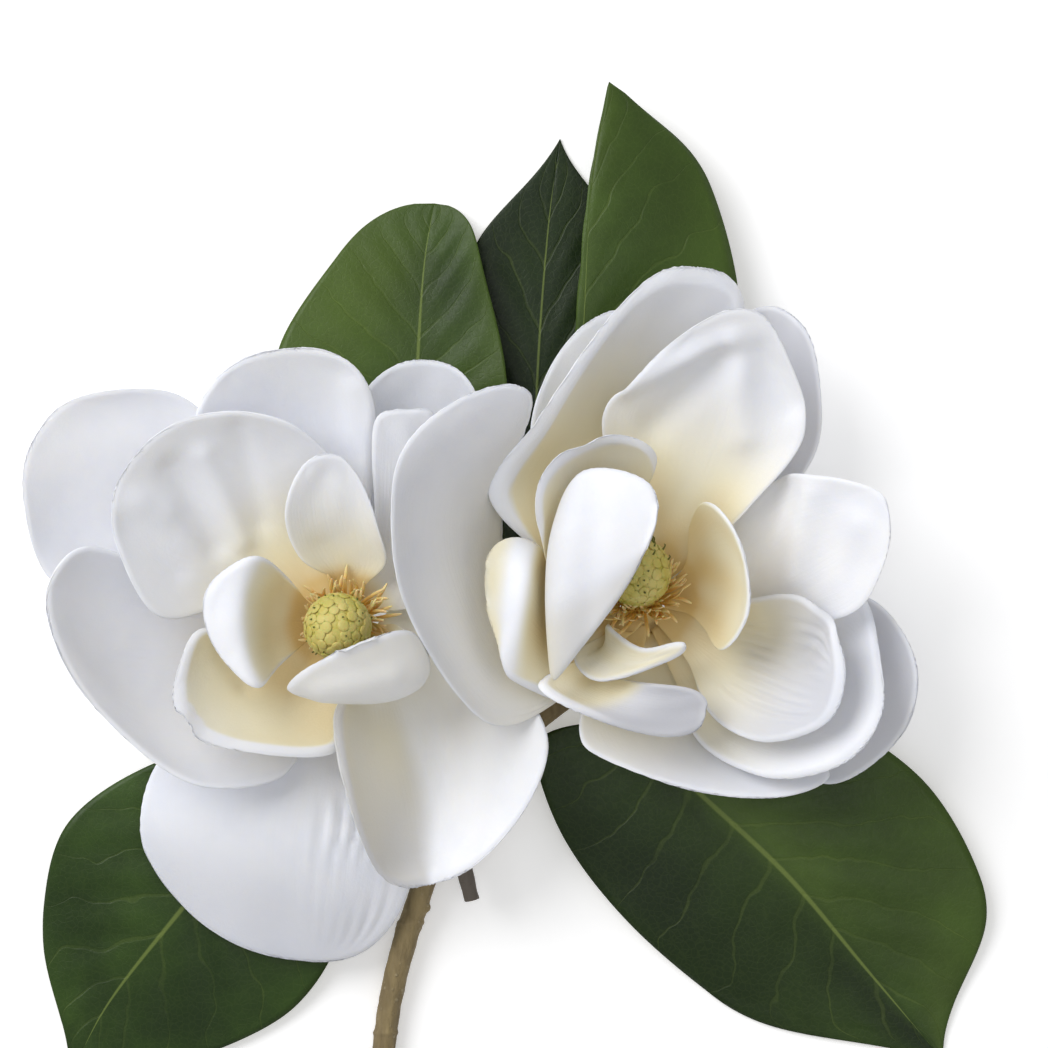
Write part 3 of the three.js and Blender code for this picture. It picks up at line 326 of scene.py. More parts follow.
# What each petal has beyond its stations. Across runs from -1 at the left margin to 1 at
# the right one, along from 0 at the foot to 1 at the tip. Heights and widths are in mm.
# roll: widths of rim that roll back on the left, right and tip edges, then the turn in
#   degrees, under 0 where they roll inwards
# rise: from where to where along the petal the roll grows
# dent: height of the soft dents
# ribs: count, height, from and to along, from and to across
# folds: ridges, or valleys where the height is under 0, along lines in units from the
#   flower's centre: x0, y0, x1, y1, half width in units, height
# cream: share at the foot, and its reach in units; the petal's own cream, deepened as painted shade
# in the flower's hollow
# bare: from where along the petal no cream is left
# shade: share of grey, painted shade for petals that lie in shadow, from and to across
# tint: windows of painted shade, with more cream and grey where a petal lies in shadow:
#   cream, grey, from and to across, from and to along, softness
DETAIL = {
    "left_petal_far_left": {"dent": 0.8},
    "left_petal_bottom": {"ribs": [15, 1.1, 0.5, 0.97, -0.95, 0.0], "dent": 0.9,
                          "cream": [0.1, 40], "shade": [0.08, -2, 2],
                          "tint": [[0, 0.42, -2, 3, 0.66, 3, 0.3]]},
    "left_petal_inner_left": {"dent": 0.7, "cream": [1.2, 38], "folds": [
        [-34, 30, -26, 15, 2.8, -2.8], [-28, 33, -21, 16, 2.4, 2.2], [-21, 38, -17, 20, 2.4, -1.4],
        [-44, 26, -36, 22, 3, 1.6], [-44, 19, -34, 10, 3, -1.2]]},
    "left_petal_small_left": {"cream": [1.05, 40], "roll": [2, 2, 3, 60], "dent": 0.3,
                              "bare": 0.7},
    "left_petal_small_right": {"cream": [0.35, 34], "roll": [2, 2.6, 3.0, -40],
                               "folds": [[-4, -14, 10, -11, 2.4, -1.4]], "dent": 0.3,
                               "tint": [[0.1, 0.2, -2, 3, -1, 3, 0.2]]},
    "left_petal_bottom_right": {"dent": 0.4, "cream": [0.45, 64],
                                "tint": [[0.12, 0.8, -0.1, 3, 0.2, 3, 0.3]],
                                "folds": [[20, -15, 15, -52, 6, -4.6], [29, -20, 25, -46, 5, 2.0]],
                                "roll": [2, 4.6, 2.4, 70]},
    "left_petal_top": {"dent": 0.7, "folds": [[2, 46, 2, 20, 3, 1.2]], "roll": [1.6, 4.2, 2, 75]},
    "left_petal_small_top": {"roll": [1.2, 1.2, 1.4, 60], "folds": [[-5, 14, -1, 8, 3, -1.0]],
                             "cream": [0.75, 36], "dent": 0.6},
    "left_petal_cup": {"roll": [5.0, 2.4, 4.4, 85], "dent": 0.4, "cream": [1.15, 56],
                       "folds": [[-24, -7, -20, -13, 2.2, -1.8]]},
    "left_petal_bowl": {"roll": [2.4, 2.0, 2.4, 60], "dent": 0.8, "shade": [0.28, -2, 2]},
    "left_petal_behind": {"shade": [0.3, -2, 2]},
    "left_petal_narrow": {"cream": [0.4, 36]},
    "right_petal_inner_top": {"dent": 0.5, "cream": [1.2, 50], "folds": [
        [17, 56, -4, 46, 2.4, 3.2], [16, 52, 2, 38, 3.2, -3.4], [18, 56, 20, 36, 3.4, 2.6],
        [23, 53, 29, 42, 2.8, -2.0]]},
    "right_petal_top": {"roll": [9.0, 2.0, 5.0, 70], "dent": 0.4, "cream": [1.15, 68],
                        "shade": [0.3, -2, 2]},
    "right_petal_right": {"dent": 0.6, "cream": [0.5, 40], "folds": [
        [27, 25, 21, 8, 3.4, -3.4], [33, 24, 30, 8, 3, 2.2], [43, 18, 36, 4, 3, 1.4]]},
    "right_petal_cup": {"ribs": [13, 0.8, 0.42, 0.95, -0.8, 0.8], "roll": [2.6, 2.0, 3.4, 80],
                        "folds": [[36, -1, 32, -8, 2.4, -2.6]], "cream": [1.2, 42],
                        "shade": [0.5, -2, 2]},
    "right_petal_crescent": {"cream": [1.2, 50], "roll": [2.4, 2.4, 3.4, 80]},
    "right_petal_low": {"cream": [1.0, 44], "shade": [0.06, -2, 2]},
    "right_petal_small_right": {"roll": [1.2, 1.4, 1.8, 70], "dent": 0.2, "cream": [1.2, 54],
                                "rise": [0.66, 0.85]},
    "right_petal_far_left": {"ribs": [8, 0.4, 0.12, 0.4, -0.9, 0.9], "dent": 0.6,
                             "shade": [0.3, -2, 2], "cream": [0.8, 54]},
    "right_petal_far_right": {"shade": [0.5, -2, 2]},
    "right_petal_behind_right": {"shade": [0.55, -2, 2]},
    "right_petal_over_centre": {"roll": [2.4, 2.4, 2.4, -45], "cream": [0.2, 24],
                                "tint": [[0.22, 0.3, -2, 3, -1, 0.9, 0.3],
                                         [0.15, 0.5, -2, -0.25, -1, 3, 0.4],
                                         [0.2, 0.2, -2, 3, -1, 0.6, 0.4]],
                                "folds": [[-10, 26, -12, -6, 3, 1.0]]},
    "right_petal_rolled": {"roll": [3.6, 3.0, 3.6, 60], "cream": [0.95, 60], "dent": 0.3,
                           "bare": 0.86, "rise": [0.6, 0.8]},
    "right_petal_left_cup": {"roll": [5.0, 2.0, 2.4, 50], "dent": 0.2, "cream": [1.2, 56],
                             "bare": 0.68, "tint": [[0.5, 0.15, -2, 3, 0.82, 3, 0.14]]},
    "right_petal_low_tongue": {"roll": [1.6, 4.4, 1.8, 80], "dent": 0.2, "cream": [1.25, 42],
                               "shade": [0.2, -2, 2], "bare": 0.62,
                               "tint": [[0.06, 0.7, -2, 3, 0.5, 3, 0.35]]},
    "right_petal_small_low": {"roll": [2.2, 1.4, 2.0, 75], "dent": 0.2, "cream": [0.9, 40]},
}
PLAIN = {"roll": [1.6, 1.6, 2.0, 50], "ribs": None, "folds": [], "cream": [0.35, 40],
         "bare": 2, "dent": 0.5, "shade": [0, -2, 2], "tint": [], "rise": [0.25, 0.5]}


# ---------------------------------------------------------------- curves and sheets
def along(points, t):
    """Points on the smooth curve through the stations, for t from 0 to 1."""
    points = np.asarray(points, float)
    t = np.asarray(t, float)
    last = len(points) - 1
    at = np.clip(t, 0, 1) * last
    i = np.minimum(np.floor(at).astype(int), last - 1)
    f = (at - i)[..., None]
    line = np.vstack([2 * points[0] - points[1], points, 2 * points[-1] - points[-2]])
    p0, p1, p2, p3 = line[i], line[i + 1], line[i + 2], line[i + 3]
    out = p1 * (2 * f**3 - 3 * f**2 + 1) + p2 * (3 * f**2 - 2 * f**3)
    return out + (p2 - p0) / 2 * (f**3 - 2 * f**2 + f) + (p3 - p1) / 2 * (f**3 - f**2)


def smooth(x, low, high):
    """0 below low, 1 above high and a smooth step between."""
    t = np.clip((np.asarray(x, float) - low) / (high - low), 0, 1)
    return t * t * (3 - 2 * t)


def window(x, low, high, ease):
    """1 between low and high, eased to 0 at both ends."""
    return smooth(x, low, low + ease) * (1 - smooth(x, high - ease, high))


def unit(v):
    """Vectors of length one."""
    return v / np.maximum(np.linalg.norm(v, axis=-1, keepdims=True), 1e-9)


def normals(grid):
    """Upward normals of a sheet of points laid out as rows, columns."""
    out = unit(np.cross(np.gradient(grid, axis=1), np.gradient(grid, axis=0)))
    out[-1] = unit(out[-2].mean(0))
    return out


def unevenness(u, v, random, waves=6, low=0.6, high=2.6):
    """Broad soft dents over a sheet, about -1 to 1."""
    total = np.zeros(np.broadcast(u, v).shape)
    for _ in range(waves):
        fu, fv = random.uniform(low, high, 2) * random.choice([-1, 1], 2)
        total = total + np.sin(math.pi * (fu * u + 2 * fv * v) + random.uniform(0, 2 * math.pi))
    return total / waves


def flower_frame(flower):
    """Turn and origin, in mm, of a flower's leaning axis."""
    tilt, towards = (math.radians(a) for a in flower["lean"])
    axis = Vector((-math.sin(towards), math.cos(towards), 0))
    return np.array(Matrix.Rotation(tilt, 3, axis)), np.array(flower["centre"], float) * UNIT


# ---------------------------------------------------------------- the form of a petal
def petal_lines(flower, spec):
    """A petal's midrib, left margin and right margin, in mm, from its foot on the wood."""
    turn, centre = flower_frame(flower)
    angle = math.radians(spec["at"])
    outward = np.array([math.cos(angle), math.sin(angle), 0])
    beside = np.array([-math.sin(angle), math.cos(angle), 0])
    rise = np.array([0, 0, spec["tier"] * TIER_STEP])
    shift = np.array([*flower["centre"][:2], 0])
    lines = []
    for key, side in (("mid", 0), ("left", 1), ("right", -1)):
        foot = turn @ (FOOT_RADIUS * outward + side * CLAW_WIDTH / 2 * beside + rise) + centre
        lines.append(np.vstack([foot, (np.array(spec[key], float) + shift) * UNIT]))
    return lines


def petal_surface(flower, spec):
    """Middle surface of a petal, its across and along values, and its calm near the tip."""
    mid, left, right = petal_lines(flower, spec)
    tip_start = 1 - TIP_SHARE / (len(mid) - 1)
    straight, bunch = 0.6, 1.3  # share of rows before the tip; how far columns crowd the rims
    s = np.linspace(0, 1, PETAL_ROWS + 1)
    bent = np.sin((s - straight) / (1 - straight) * math.pi / 2)
    v = np.where(s <= straight, tip_start * s / straight, tip_start + (1 - tip_start) * bent)
    u = np.sin(np.linspace(-bunch, bunch, PETAL_COLS + 1)) / math.sin(bunch)
    tip = np.clip((v - tip_start) / (1 - tip_start), 0, 1)
    narrow = np.maximum(1 - tip ** spec["blunt"], 0) ** (1 / spec["blunt"])
    m = along(mid, v)
    a = (along(left, v) - m) * narrow[:, None]
    b = (along(right, v) - m) * narrow[:, None]
    uu, vv = np.meshgrid(u, v)
    grid = (m[:, None] + (b - a)[:, None] * uu[..., None] / 2
            + ((a + b) * narrow[:, None])[:, None] * (uu**2)[..., None] / 2)

    calm = (1 - smooth(tip, 0.6, 0.95))[:, None]
    edge = np.maximum(np.abs(uu) ** 3, (tip**3)[:, None])
    high, waves, phase = spec["wave"]
    ripple = high * np.sin((vv * waves + phase + 0.37 * smooth(uu, -0.5, 0.5)) * 2 * math.pi)
    curl = spec["curl"] - ripple * (1 - np.abs(vv - 0.6)) * calm
    return grid + normals(grid) * (smooth(vv, 0.2, 0.5) * edge * curl)[..., None], uu, vv, calm


def petal_relief(flower, detail, grid, uu, vv, calm, random):
    """Height in mm of a petal's dents, crimps and folds."""
    height = detail["dent"] * unevenness(uu, vv, random) * smooth(vv, 0.2, 0.5) * calm
    if detail["ribs"]:
        count, tall, first, last, from_u, to_u = detail["ribs"]
        drift = unevenness(uu, vv, random, 3)
        rib = np.sin((uu + 0.06 * drift) * count * math.pi)
        shown = window(vv, first, last, 0.12) * window(uu, from_u, to_u, 0.25)
        height = height + tall * rib * shown * (0.6 + 0.8 * drift)
    plan = grid[..., :2]
    for x0, y0, x1, y1, half, tall in detail["folds"]:
        start, end = ((np.array(p) + flower["centre"][:2]) * UNIT for p in ((x0, y0), (x1, y1)))
        run = end - start
        t = np.clip(((plan - start) @ run) / (run @ run), 0, 1)
        off = np.linalg.norm(plan - start - t[..., None] * run, axis=-1)
        height = height + tall * np.exp(-((off / (half * UNIT)) ** 2)) * calm
    return height


def petal_colours(flower, detail, grid, uu, vv, rolled, random):
    """Shares of cream and of grey over a petal, the grey painted shade and the cream partly painted
    shade; the rolled rim keeps its white and so stays bright.
    """
    turn, centre = flower_frame(flower)
    heart = turn @ np.array([0, 0, SPIGOT_FOOT]) + centre
    away = np.linalg.norm(grid - heart, axis=-1) / UNIT
    share, reach = detail["cream"]
    soft = 1 + 0.16 * unevenness(uu, vv, random, 5)
    # cream towards the foot: partly the petal's own colour, partly painted shade of the hollow
    # round the centre
    cream = share * np.clip(1 - away / reach, 0, 1) ** 1.15 * soft * (1 - 0.8 * rolled)
    cream = cream * (1 - smooth(vv, detail["bare"], detail["bare"] + 0.12))
    cream = cream + 0.6 * (1 - smooth(away, 7.5, 13))  # gold light round the stamens
    # painted shade: grey over petals that lie in shadow, kept off the rolled rim
    share, first, last = detail["shade"]
    shade = share * window(uu, first, last, 0.3)
    shade = shade * smooth(vv, 0.1, 0.4) * soft * (1 - 0.9 * rolled)
    # painted shade: each tint window darkens a stretch of petal that lies in shadow
    for more_cream, more_grey, u0, u1, v0, v1, ease in detail["tint"]:
        shown = window(uu, u0, u1, ease) * window(vv, v0, v1, ease) * soft
        cream, shade = cream + more_cream * shown, shade + more_grey * shown
    return cream, shade


def evened(values, times):
    """A line of vectors, evened out along its length."""
    for _ in range(times):
        padded = np.vstack([values[:1], values, values[-1:]])
        values = (padded[:-2] + 2 * padded[1:-1] + padded[2:]) / 4
    return values


def roll_rim(grid, uu, vv, roll, rise):
    """Rolls the last millimetres of the rim back and under, all the way round the tip."""
    left, right, tip, turn = roll
    n = normals(grid)
    v = vv[:, 0]
    rim = np.vstack([grid[:, 0], grid[-2::-1, -1]])
    rim_n = np.vstack([n[:, 0], n[-2::-1, -1]])
    near_tip, grown = smooth(v, 0.6, 0.95), smooth(v, *rise)
    side = np.append(left + (tip - left) * near_tip, (right + (tip - right) * near_tip)[-2::-1])
    shown = np.append(grown, grown[-2::-1])
    length = np.append(0, np.cumsum(np.linalg.norm(np.diff(rim, axis=0), axis=1)))
    even = np.linspace(0, length[-1], 240)

    def spread(values):
        """The values at even steps round the rim."""
        values = np.asarray(values, float).reshape(len(length), -1)
        return np.stack([np.interp(even, length, c) for c in values.T], 1)

    rim, rim_n = spread(rim), unit(evened(spread(rim_n), 60))
    wide = evened(spread(side * shown), 10)[:, 0]
    heading = unit(evened(np.cross(rim_n, np.gradient(evened(rim, 10), axis=0)), 24))
    inside = grid[len(grid) // 2, grid.shape[1] // 2]
    if np.sum(heading * (rim - inside)) < 0:
        heading = -heading
    flat = grid.reshape(-1, 3)
    gap = np.linalg.norm(flat[:, None] - rim[None], axis=-1)
    weight = np.exp(-(((gap - gap.min(1, keepdims=True)) / 0.8) ** 2))
    weight = weight / weight.sum(1, keepdims=True)
    wide, ahead, down = weight @ wide, unit(weight @ heading), unit(weight @ rim_n)
    s = np.clip(wide - gap.min(1), 0, None)
    radius = np.maximum(wide, 0.05) / math.radians(turn)
    out = flat + ahead * (radius * np.sin(s / radius) - s)[:, None]
    out = out - down * (radius * (1 - np.cos(s / radius)))[:, None]
    return out.reshape(grid.shape), smooth(s / 1.6, 0, 1).reshape(uu.shape)


# ---------------------------------------------------------------- the form of a leaf
def leaf_surface(spec):
    """Middle surface of a leaf, its across and along values, and how far it has opened."""
    foot = np.array(spec["foot"], float) * UNIT
    mid = np.vstack([foot, np.array(spec["mid"], float) * UNIT])
    heading = unit(mid[1] - foot)
    beside = unit(np.array([-heading[1], heading[0], 0]))
    last = len(mid) - 1
    v = np.linspace(0, 1, LEAF_ROWS + 1) ** 0.95
    u = np.linspace(-1, 1, LEAF_COLS + 1)
    u = np.sign(u) * (0.35 * np.abs(u) + 0.65 * np.abs(u) ** 2)  # closer near the midrib
    opened = smooth(v, STALK_END / last * 0.7, 1.35 / last)[:, None]
    point = np.maximum((v - 1) * last / 1.3 + 1, 0)
    power = 0.5 if spec["point"] > ROUND_POINT else 1
    close = ((1 - point ** spec["point"]) ** power)[:, None]
    least = (STALK_WIDTH / 2 * (1 - v))[:, None]
    m = along(mid, v)

    def reach(key, side):
        """From the midrib to one margin: half a stalk first, then the blade."""
        start = foot + side * beside * STALK_WIDTH / 2
        full = along(np.vstack([start, np.array(spec[key], float) * UNIT]), v) - m
        long = np.maximum(np.linalg.norm(full, axis=1, keepdims=True), 1e-6)
        plain = beside * side * least
        return plain + (full * np.maximum(close, least / long) - plain) * opened

    a, b = reach("left", 1), reach("right", -1)
    uu, vv = np.meshgrid(u, v)
    grid = (m[:, None] + (b - a)[:, None] * uu[..., None] / 2
            + (a + b)[:, None] * (uu**2)[..., None] / 2)
    grid[-1] = m[-1]
    return grid, uu, vv, opened


def leaf_relief(grid, uu, vv, opened, random):
    """Height in mm of a leaf's quilting, soft dents, wavy margin and groove."""
    wide = opened * (1 - np.abs(uu) ** 3) * (1 - vv**6)
    quilt = -0.3 * np.cos((vv - 0.2 * np.abs(uu) ** 0.85) * LEAF_VEIN_PAIRS * 2 * math.pi)
    quilt = quilt * smooth(np.abs(uu), 0.03, 0.3)
    soft = 0.9 * unevenness(uu, vv, random, 6, 0.5, 1.8)
    wavy = 0.9 * np.sin((vv * 3.2 + np.where(uu > 0, 0.3, 0.8)) * 2 * math.pi) * np.abs(uu) ** 3
    bumps = wide * (quilt + soft) + wavy * opened * (1 - vv**6)
    groove = -0.35 * np.exp(-((uu / 0.05) ** 2)) * opened
    return np.where(grid[..., 2] > 2.5, bumps, bumps * 0.3) + groove  # flatter on the floor


def leaf_colours(look, uu, vv, random):
    """Shares of olive and of painted shade over a leaf, with a little darkness at random; its foot
    is fresh green.
    """
    olive, dark, half = look
    # painted shade: one half of the leaf darker, as it lies turned from the light
    half = half * smooth(uu, -0.1, 0.15)
    patch = 0.5 + 0.9 * unevenness(uu, vv, random, 5, 0.6, 1.6)
    fresh = (1 - smooth(vv, 0.04, 0.2)) * 0.7
    tone = np.clip(fresh + olive * (0.6 + 0.8 * patch) * (1 - half), 0, 1)
    return tone, np.clip((dark + half + 0.25 * (1 - patch)) * (1 - fresh), 0, 0.95)


# ---------------------------------------------------------------- meshes
class Shape:
    """Points, faces and per-point values gathered for one piece."""

    def __init__(self):
        self.points, self.faces, self.slots = [], [], []
        self.values = {"across": [], "down": [], "tone": [], "shade": []}
        self.count = 0

    def add(self, points, faces, slot=0, across=0.0, down=0.0, tone=0.0, shade=0.0):
        """Takes up points and faces, with one value or one for each point."""
        points = np.asarray(points, float).reshape(-1, 3)
        self.points.append(points)
        self.faces += [tuple(int(i) + self.count for i in f) for f in faces]
        self.slots += [slot] * len(faces)
        for name, value in zip(self.values, (across, down, tone, shade)):
            self.values[name].append(np.broadcast_to(np.ravel(value), (len(points),)).copy())
        self.count += len(points)

    def make(self, name, node, slot_name, materials):
        """Makes the object, in the place of the frame's node."""
        points = (np.vstack(self.points) + MIDDLE) * MM
        mesh = bpy.data.meshes.new(name)
        mesh.from_pydata(points.tolist(), [], self.faces)
        for key, parts in self.values.items():
            layer = mesh.attributes.new(key, "FLOAT", "POINT")
            layer.data.foreach_set("value", np.concatenate(parts).astype(np.float32))
        for material in materials:
            mesh.materials.append(material)
        mesh.polygons.foreach_set("material_index", self.slots)
        mesh.shade_smooth()
        mesh.update()
        piece = bpy.data.objects.new(name, mesh)
        bpy.context.scene.collection.objects.link(piece)
        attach(piece, "root")
        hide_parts(node)


def blade(shape, grid, thick, fields, slots=(0, 0)):
    """A closed blade round a middle surface whose last row is one point, with its fields."""
    rows, cols = grid.shape[0] - 1, grid.shape[1] - 1
    n = normals(grid)
    index = np.arange(rows * (cols + 1)).reshape(rows, cols + 1)
    layer = rows * (cols + 1) + 1
    for side, slot in ((1, slots[0]), (-1, slots[1])):
        skin = grid + n * (side * thick / 2)[..., None]
        tip = grid[-1, 0] + n[-2, cols // 2] * side * thick[-1, cols // 2] / 2
        points = np.vstack([skin[:-1].reshape(-1, 3), tip])
        faces = []
        for i in range(rows - 1):
            for j in range(cols):
                faces.append((index[i, j], index[i, j + 1], index[i + 1, j + 1], index[i + 1, j]))
        for j in range(cols):
            faces.append((index[-1, j], index[-1, j + 1], layer - 1))
        if side < 0:
            faces = [f[::-1] for f in faces]
        keep = [np.append(x[:-1].ravel(), x[-1, cols // 2]) for x in fields]
        shape.add(points, faces, slot, *keep)
    rim = list(index[0]) + list(index[1:, -1]) + [layer - 1] + list(index[1:, 0][::-1])
    first = shape.count - 2 * layer
    for a, b in zip(rim, rim[1:] + rim[:1]):
        shape.faces.append((first + a, first + layer + a, first + layer + b, first + b))
        shape.slots.append(slots[0])


def tube(shape, stations, sides, steps, slot=0, tone=None, flat=1.0, face=(0.31, 0.2, 0.93)):
    """A closed bar through stations x, y, z, radius; flat thins it along the way it faces.

    With no tone given, tone runs from 0 at the first station to 1 at the last.
    """
    stations = np.asarray(stations, float)
    t = np.linspace(0, 1, steps + 1)
    line, radii = along(stations[:, :3], t), along(stations[:, 3:], t)[:, 0]
    ahead = unit(np.gradient(line, axis=0))
    side = np.asarray(face, float)
    turn = np.linspace(0, 2 * math.pi, sides, endpoint=False)
    rings = []
    for i in range(steps + 1):
        side = unit(side - ahead[i] * (side @ ahead[i]))
        other = np.cross(ahead[i], side)
        ring = np.cos(turn)[:, None] * side * flat + np.sin(turn)[:, None] * other
        rings.append(line[i] + radii[i] * ring)
    points = np.vstack(rings + [line[:1], line[-1:]])
    low, high = (steps + 1) * sides, (steps + 1) * sides + 1
    faces = ring_faces(steps, sides)
    for k in range(sides):
        n = (k + 1) % sides
        faces.append((low, n, k))
        faces.append((high, steps * sides + k, steps * sides + n))
    down = np.append(np.repeat(t, sides), [0, 1])
    shape.add(points, faces, slot, 0.0, down, down if tone is None else tone)


def ring_faces(bands, sides, first=0):
    """Faces between rings of points that follow each other."""
    return [(first + i * sides + k, first + i * sides + (k + 1) % sides,
             first + (i + 1) * sides + (k + 1) % sides, first + (i + 1) * sides + k)
            for i in range(bands) for k in range(sides)]


def capped(shape, low, rings, high, slot, tone):
    """A closed body through rings of points, from a lowest to a highest point."""
    sides = len(rings[0])
    last = 1 + (len(rings) - 1) * sides
    end = last + sides
    faces = ring_faces(len(rings) - 1, sides, 1)
    for k in range(sides):
        n = (k + 1) % sides
        faces += [(0, 1 + n, 1 + k), (last + k, last + n, end)]
    shape.add(np.vstack([low, *rings, high]), faces, slot, 0.0, 0.0, tone)


def lathe(shape, profile, turn, origin, sides):
    """A turned body, closed on its axis, from radius and height pairs in mm."""
    angle = np.linspace(0, 2 * math.pi, sides, endpoint=False)
    round_ = np.stack([np.cos(angle), np.sin(angle), np.zeros(sides)], 1)
    rings = [(round_ * r + [0, 0, h]) @ turn.T + origin for r, h in profile]
    capped(shape, rings[0][:1], rings[1:-1], rings[-1][:1], 0, 0.0)


def pebble(shape, place, out, wide, tall, deep, tone):
    """A small rounded body, flattened along the direction it faces."""
    side = unit(np.cross([0.13, 0.21, 0.97], out))
    up = np.cross(out, side)
    angle = np.linspace(0, 2 * math.pi, 10, endpoint=False)[:, None]
    ring = wide * np.cos(angle) * side + tall * np.sin(angle) * up
    rings = [place + ring * math.sin(t) - out * deep * math.cos(t)
             for t in np.linspace(0, math.pi, 7)[1:-1]]
    capped(shape, place - out * deep, rings, place + out * deep, 0, tone)


# ---------------------------------------------------------------- shader helpers
def add(tree, kind, sockets=None, **settings):
    """One node with its settings; each named socket is set, or linked if given a socket."""
    node = tree.nodes.new(kind)
    for key, value in settings.items():
        setattr(node, key, value)
    for key, value in (sockets or {}).items():
        if isinstance(value, bpy.types.NodeSocket):
            tree.links.new(value, node.inputs[key])
        else:
            node.inputs[key].default_value = value
    return node


def maths(tree, operation, a, b=0.0):
    """The result of one sum on two values."""
    return add(tree, "ShaderNodeMath", {0: a, 1: b}, operation=operation).outputs[0]


def between(tree, value, low, high, to_low=0.0, to_high=1.0):
    """The value, eased from one range to another."""
    return add(tree, "ShaderNodeMapRange", {
        "Value": value, "From Min": low, "From Max": high, "To Min": to_low, "To Max": to_high,
    }, interpolation_type="SMOOTHSTEP").outputs["Result"]


def mix(tree, factor, a, b):
    """One colour mixed into another; a plain colour has three or four numbers."""
    a, b = (x if isinstance(x, bpy.types.NodeSocket) else (*x[:3], 1.0) for x in (a, b))
    return add(tree, "ShaderNodeMix", {0: factor, 6: a, 7: b}, data_type="RGBA").outputs[2]


def attribute(tree, name):
    """A value that the mesh carries at each point."""
    return add(tree, "ShaderNodeAttribute", attribute_name=name).outputs["Fac"]


def grain(tree, place, scale, detail, rough=0.5):
    """Smooth noise at a place."""
    return add(tree, "ShaderNodeTexNoise", {
        "Vector": place, "Scale": scale, "Detail": detail, "Roughness": rough}).outputs["Fac"]


def new_group(name, inputs, outputs):
    """An empty shader node group with its sockets; gives the group, its inputs and its end."""
    group = bpy.data.node_groups.new(name, "ShaderNodeTree")
    for label, default in inputs:
        socket = group.interface.new_socket(label, in_out="INPUT", socket_type="NodeSocketFloat")
        socket.default_value = default
    for label in outputs:
        group.interface.new_socket(label, in_out="OUTPUT", socket_type="NodeSocketFloat")
    start = group.nodes.new("NodeGroupInput").outputs
    end = group.nodes.new("NodeGroupOutput").inputs
    return group, start, end


def use(tree, name, **values):
    """Places a node group and sets its inputs; gives its outputs."""
    node = add(tree, "ShaderNodeGroup", node_tree=bpy.data.node_groups[name])
    for key, value in values.items():
        node.inputs[key].default_value = value
    return node.outputs


def build_mottle():
    """Broad patches and fine grain, which every material uses."""
    group, start, end = new_group(
        "Soft mottle", [("Broad", 40.0), ("Fine", 700.0), ("Stretch", 1.0)], ["Broad", "Fine"])
    place = add(group, "ShaderNodeTexCoord").outputs["Object"]
    scale = add(group, "ShaderNodeCombineXYZ", {"X": 1.0, "Y": start["Stretch"], "Z": 1.0})
    place = add(group, "ShaderNodeVectorMath", {0: place, 1: scale.outputs[0]},
                operation="MULTIPLY").outputs[0]
    for label, detail in (("Broad", 3.0), ("Fine", 5.0)):
        group.links.new(grain(group, place, start[label], detail, 0.6), end[label])


def build_long_veins():
    """Fine veins that fan out along a petal and fade before its tip."""
    group, start, end = new_group(
        "Long veins", [("Count", 26.0), ("Length", 2.5), ("Fan", 0.35)], ["Veins", "Streaks"])
    across, down = attribute(group, "across"), attribute(group, "down")
    fan = maths(group, "ADD", 1.0, maths(group, "MULTIPLY", down, start["Fan"]))
    x = maths(group, "MULTIPLY", maths(group, "MULTIPLY", across, start["Count"]), fan)
    y = maths(group, "MULTIPLY", down, start["Length"])
    place = add(group, "ShaderNodeCombineXYZ", {"X": x, "Y": y}).outputs[0]
    lines = grain(group, place, 1.0, 2.0)
    crest = maths(group, "ABSOLUTE", maths(group, "SUBTRACT", lines, 0.5))
    crest = between(group, crest, 0.0, 0.09, 1.0, 0.0)
    shown = between(group, down, 0.72, 0.94, 1.0, 0.0)
    group.links.new(maths(group, "MULTIPLY", crest, shown), end["Veins"])
    group.links.new(maths(group, "MULTIPLY", lines, shown), end["Streaks"])


def build_leaf_veins():
    """A leaf's slanting side veins, its midrib and the net between them."""
    group, start, end = new_group(
        "Leaf veins", [("Pairs", LEAF_VEIN_PAIRS), ("Slant", 0.2), ("Width", 0.07)],
        ["Side", "Rib", "Net"])
    across = maths(group, "ABSOLUTE", attribute(group, "across"))
    down = attribute(group, "down")
    place = add(group, "ShaderNodeTexCoord").outputs["Object"]
    drift = maths(group, "MULTIPLY", grain(group, place, 45.0, 2.0), 0.09)
    bend = maths(group, "MULTIPLY", maths(group, "POWER", across, 0.85), start["Slant"])
    run = maths(group, "ADD", maths(group, "SUBTRACT", down, bend), drift)
    wave = maths(group, "FRACT", maths(group, "MULTIPLY", run, start["Pairs"]))
    off = maths(group, "ABSOLUTE", maths(group, "SUBTRACT", wave, 0.5))
    thin = maths(group, "MULTIPLY", start["Width"], maths(group, "SUBTRACT", 1.15, across))
    side = maths(group, "DIVIDE", off, thin)
    group.links.new(between(group, side, 0.3, 1.0, 1.0, 0.0), end["Side"])
    taper = maths(group, "SUBTRACT", 1.0, maths(group, "MULTIPLY", down, 0.7))
    rib = maths(group, "DIVIDE", across, taper)
    group.links.new(between(group, rib, 0.012, 0.04, 1.0, 0.0), end["Rib"])
    cells = add(group, "ShaderNodeTexVoronoi", {"Vector": place, "Scale": 420.0},
                feature="DISTANCE_TO_EDGE").outputs["Distance"]
    group.links.new(between(group, cells, 0.0, 0.12, 1.0, 0.0), end["Net"])


def new_material(name):
    """A material with only its Principled shader; gives the material, its tree and shader."""
    material = bpy.data.materials.new(name)
    material.use_nodes = True
    tree = material.node_tree
    return material, tree, tree.nodes["Principled BSDF"]


def feed(tree, shader, **sockets):
    """Links or sets the shader's sockets; an underscore stands for a space."""
    for key, value in sockets.items():
        target = shader.inputs[key.replace("_", " ")]
        if isinstance(value, bpy.types.NodeSocket):
            tree.links.new(value, target)
        else:
            target.default_value = value


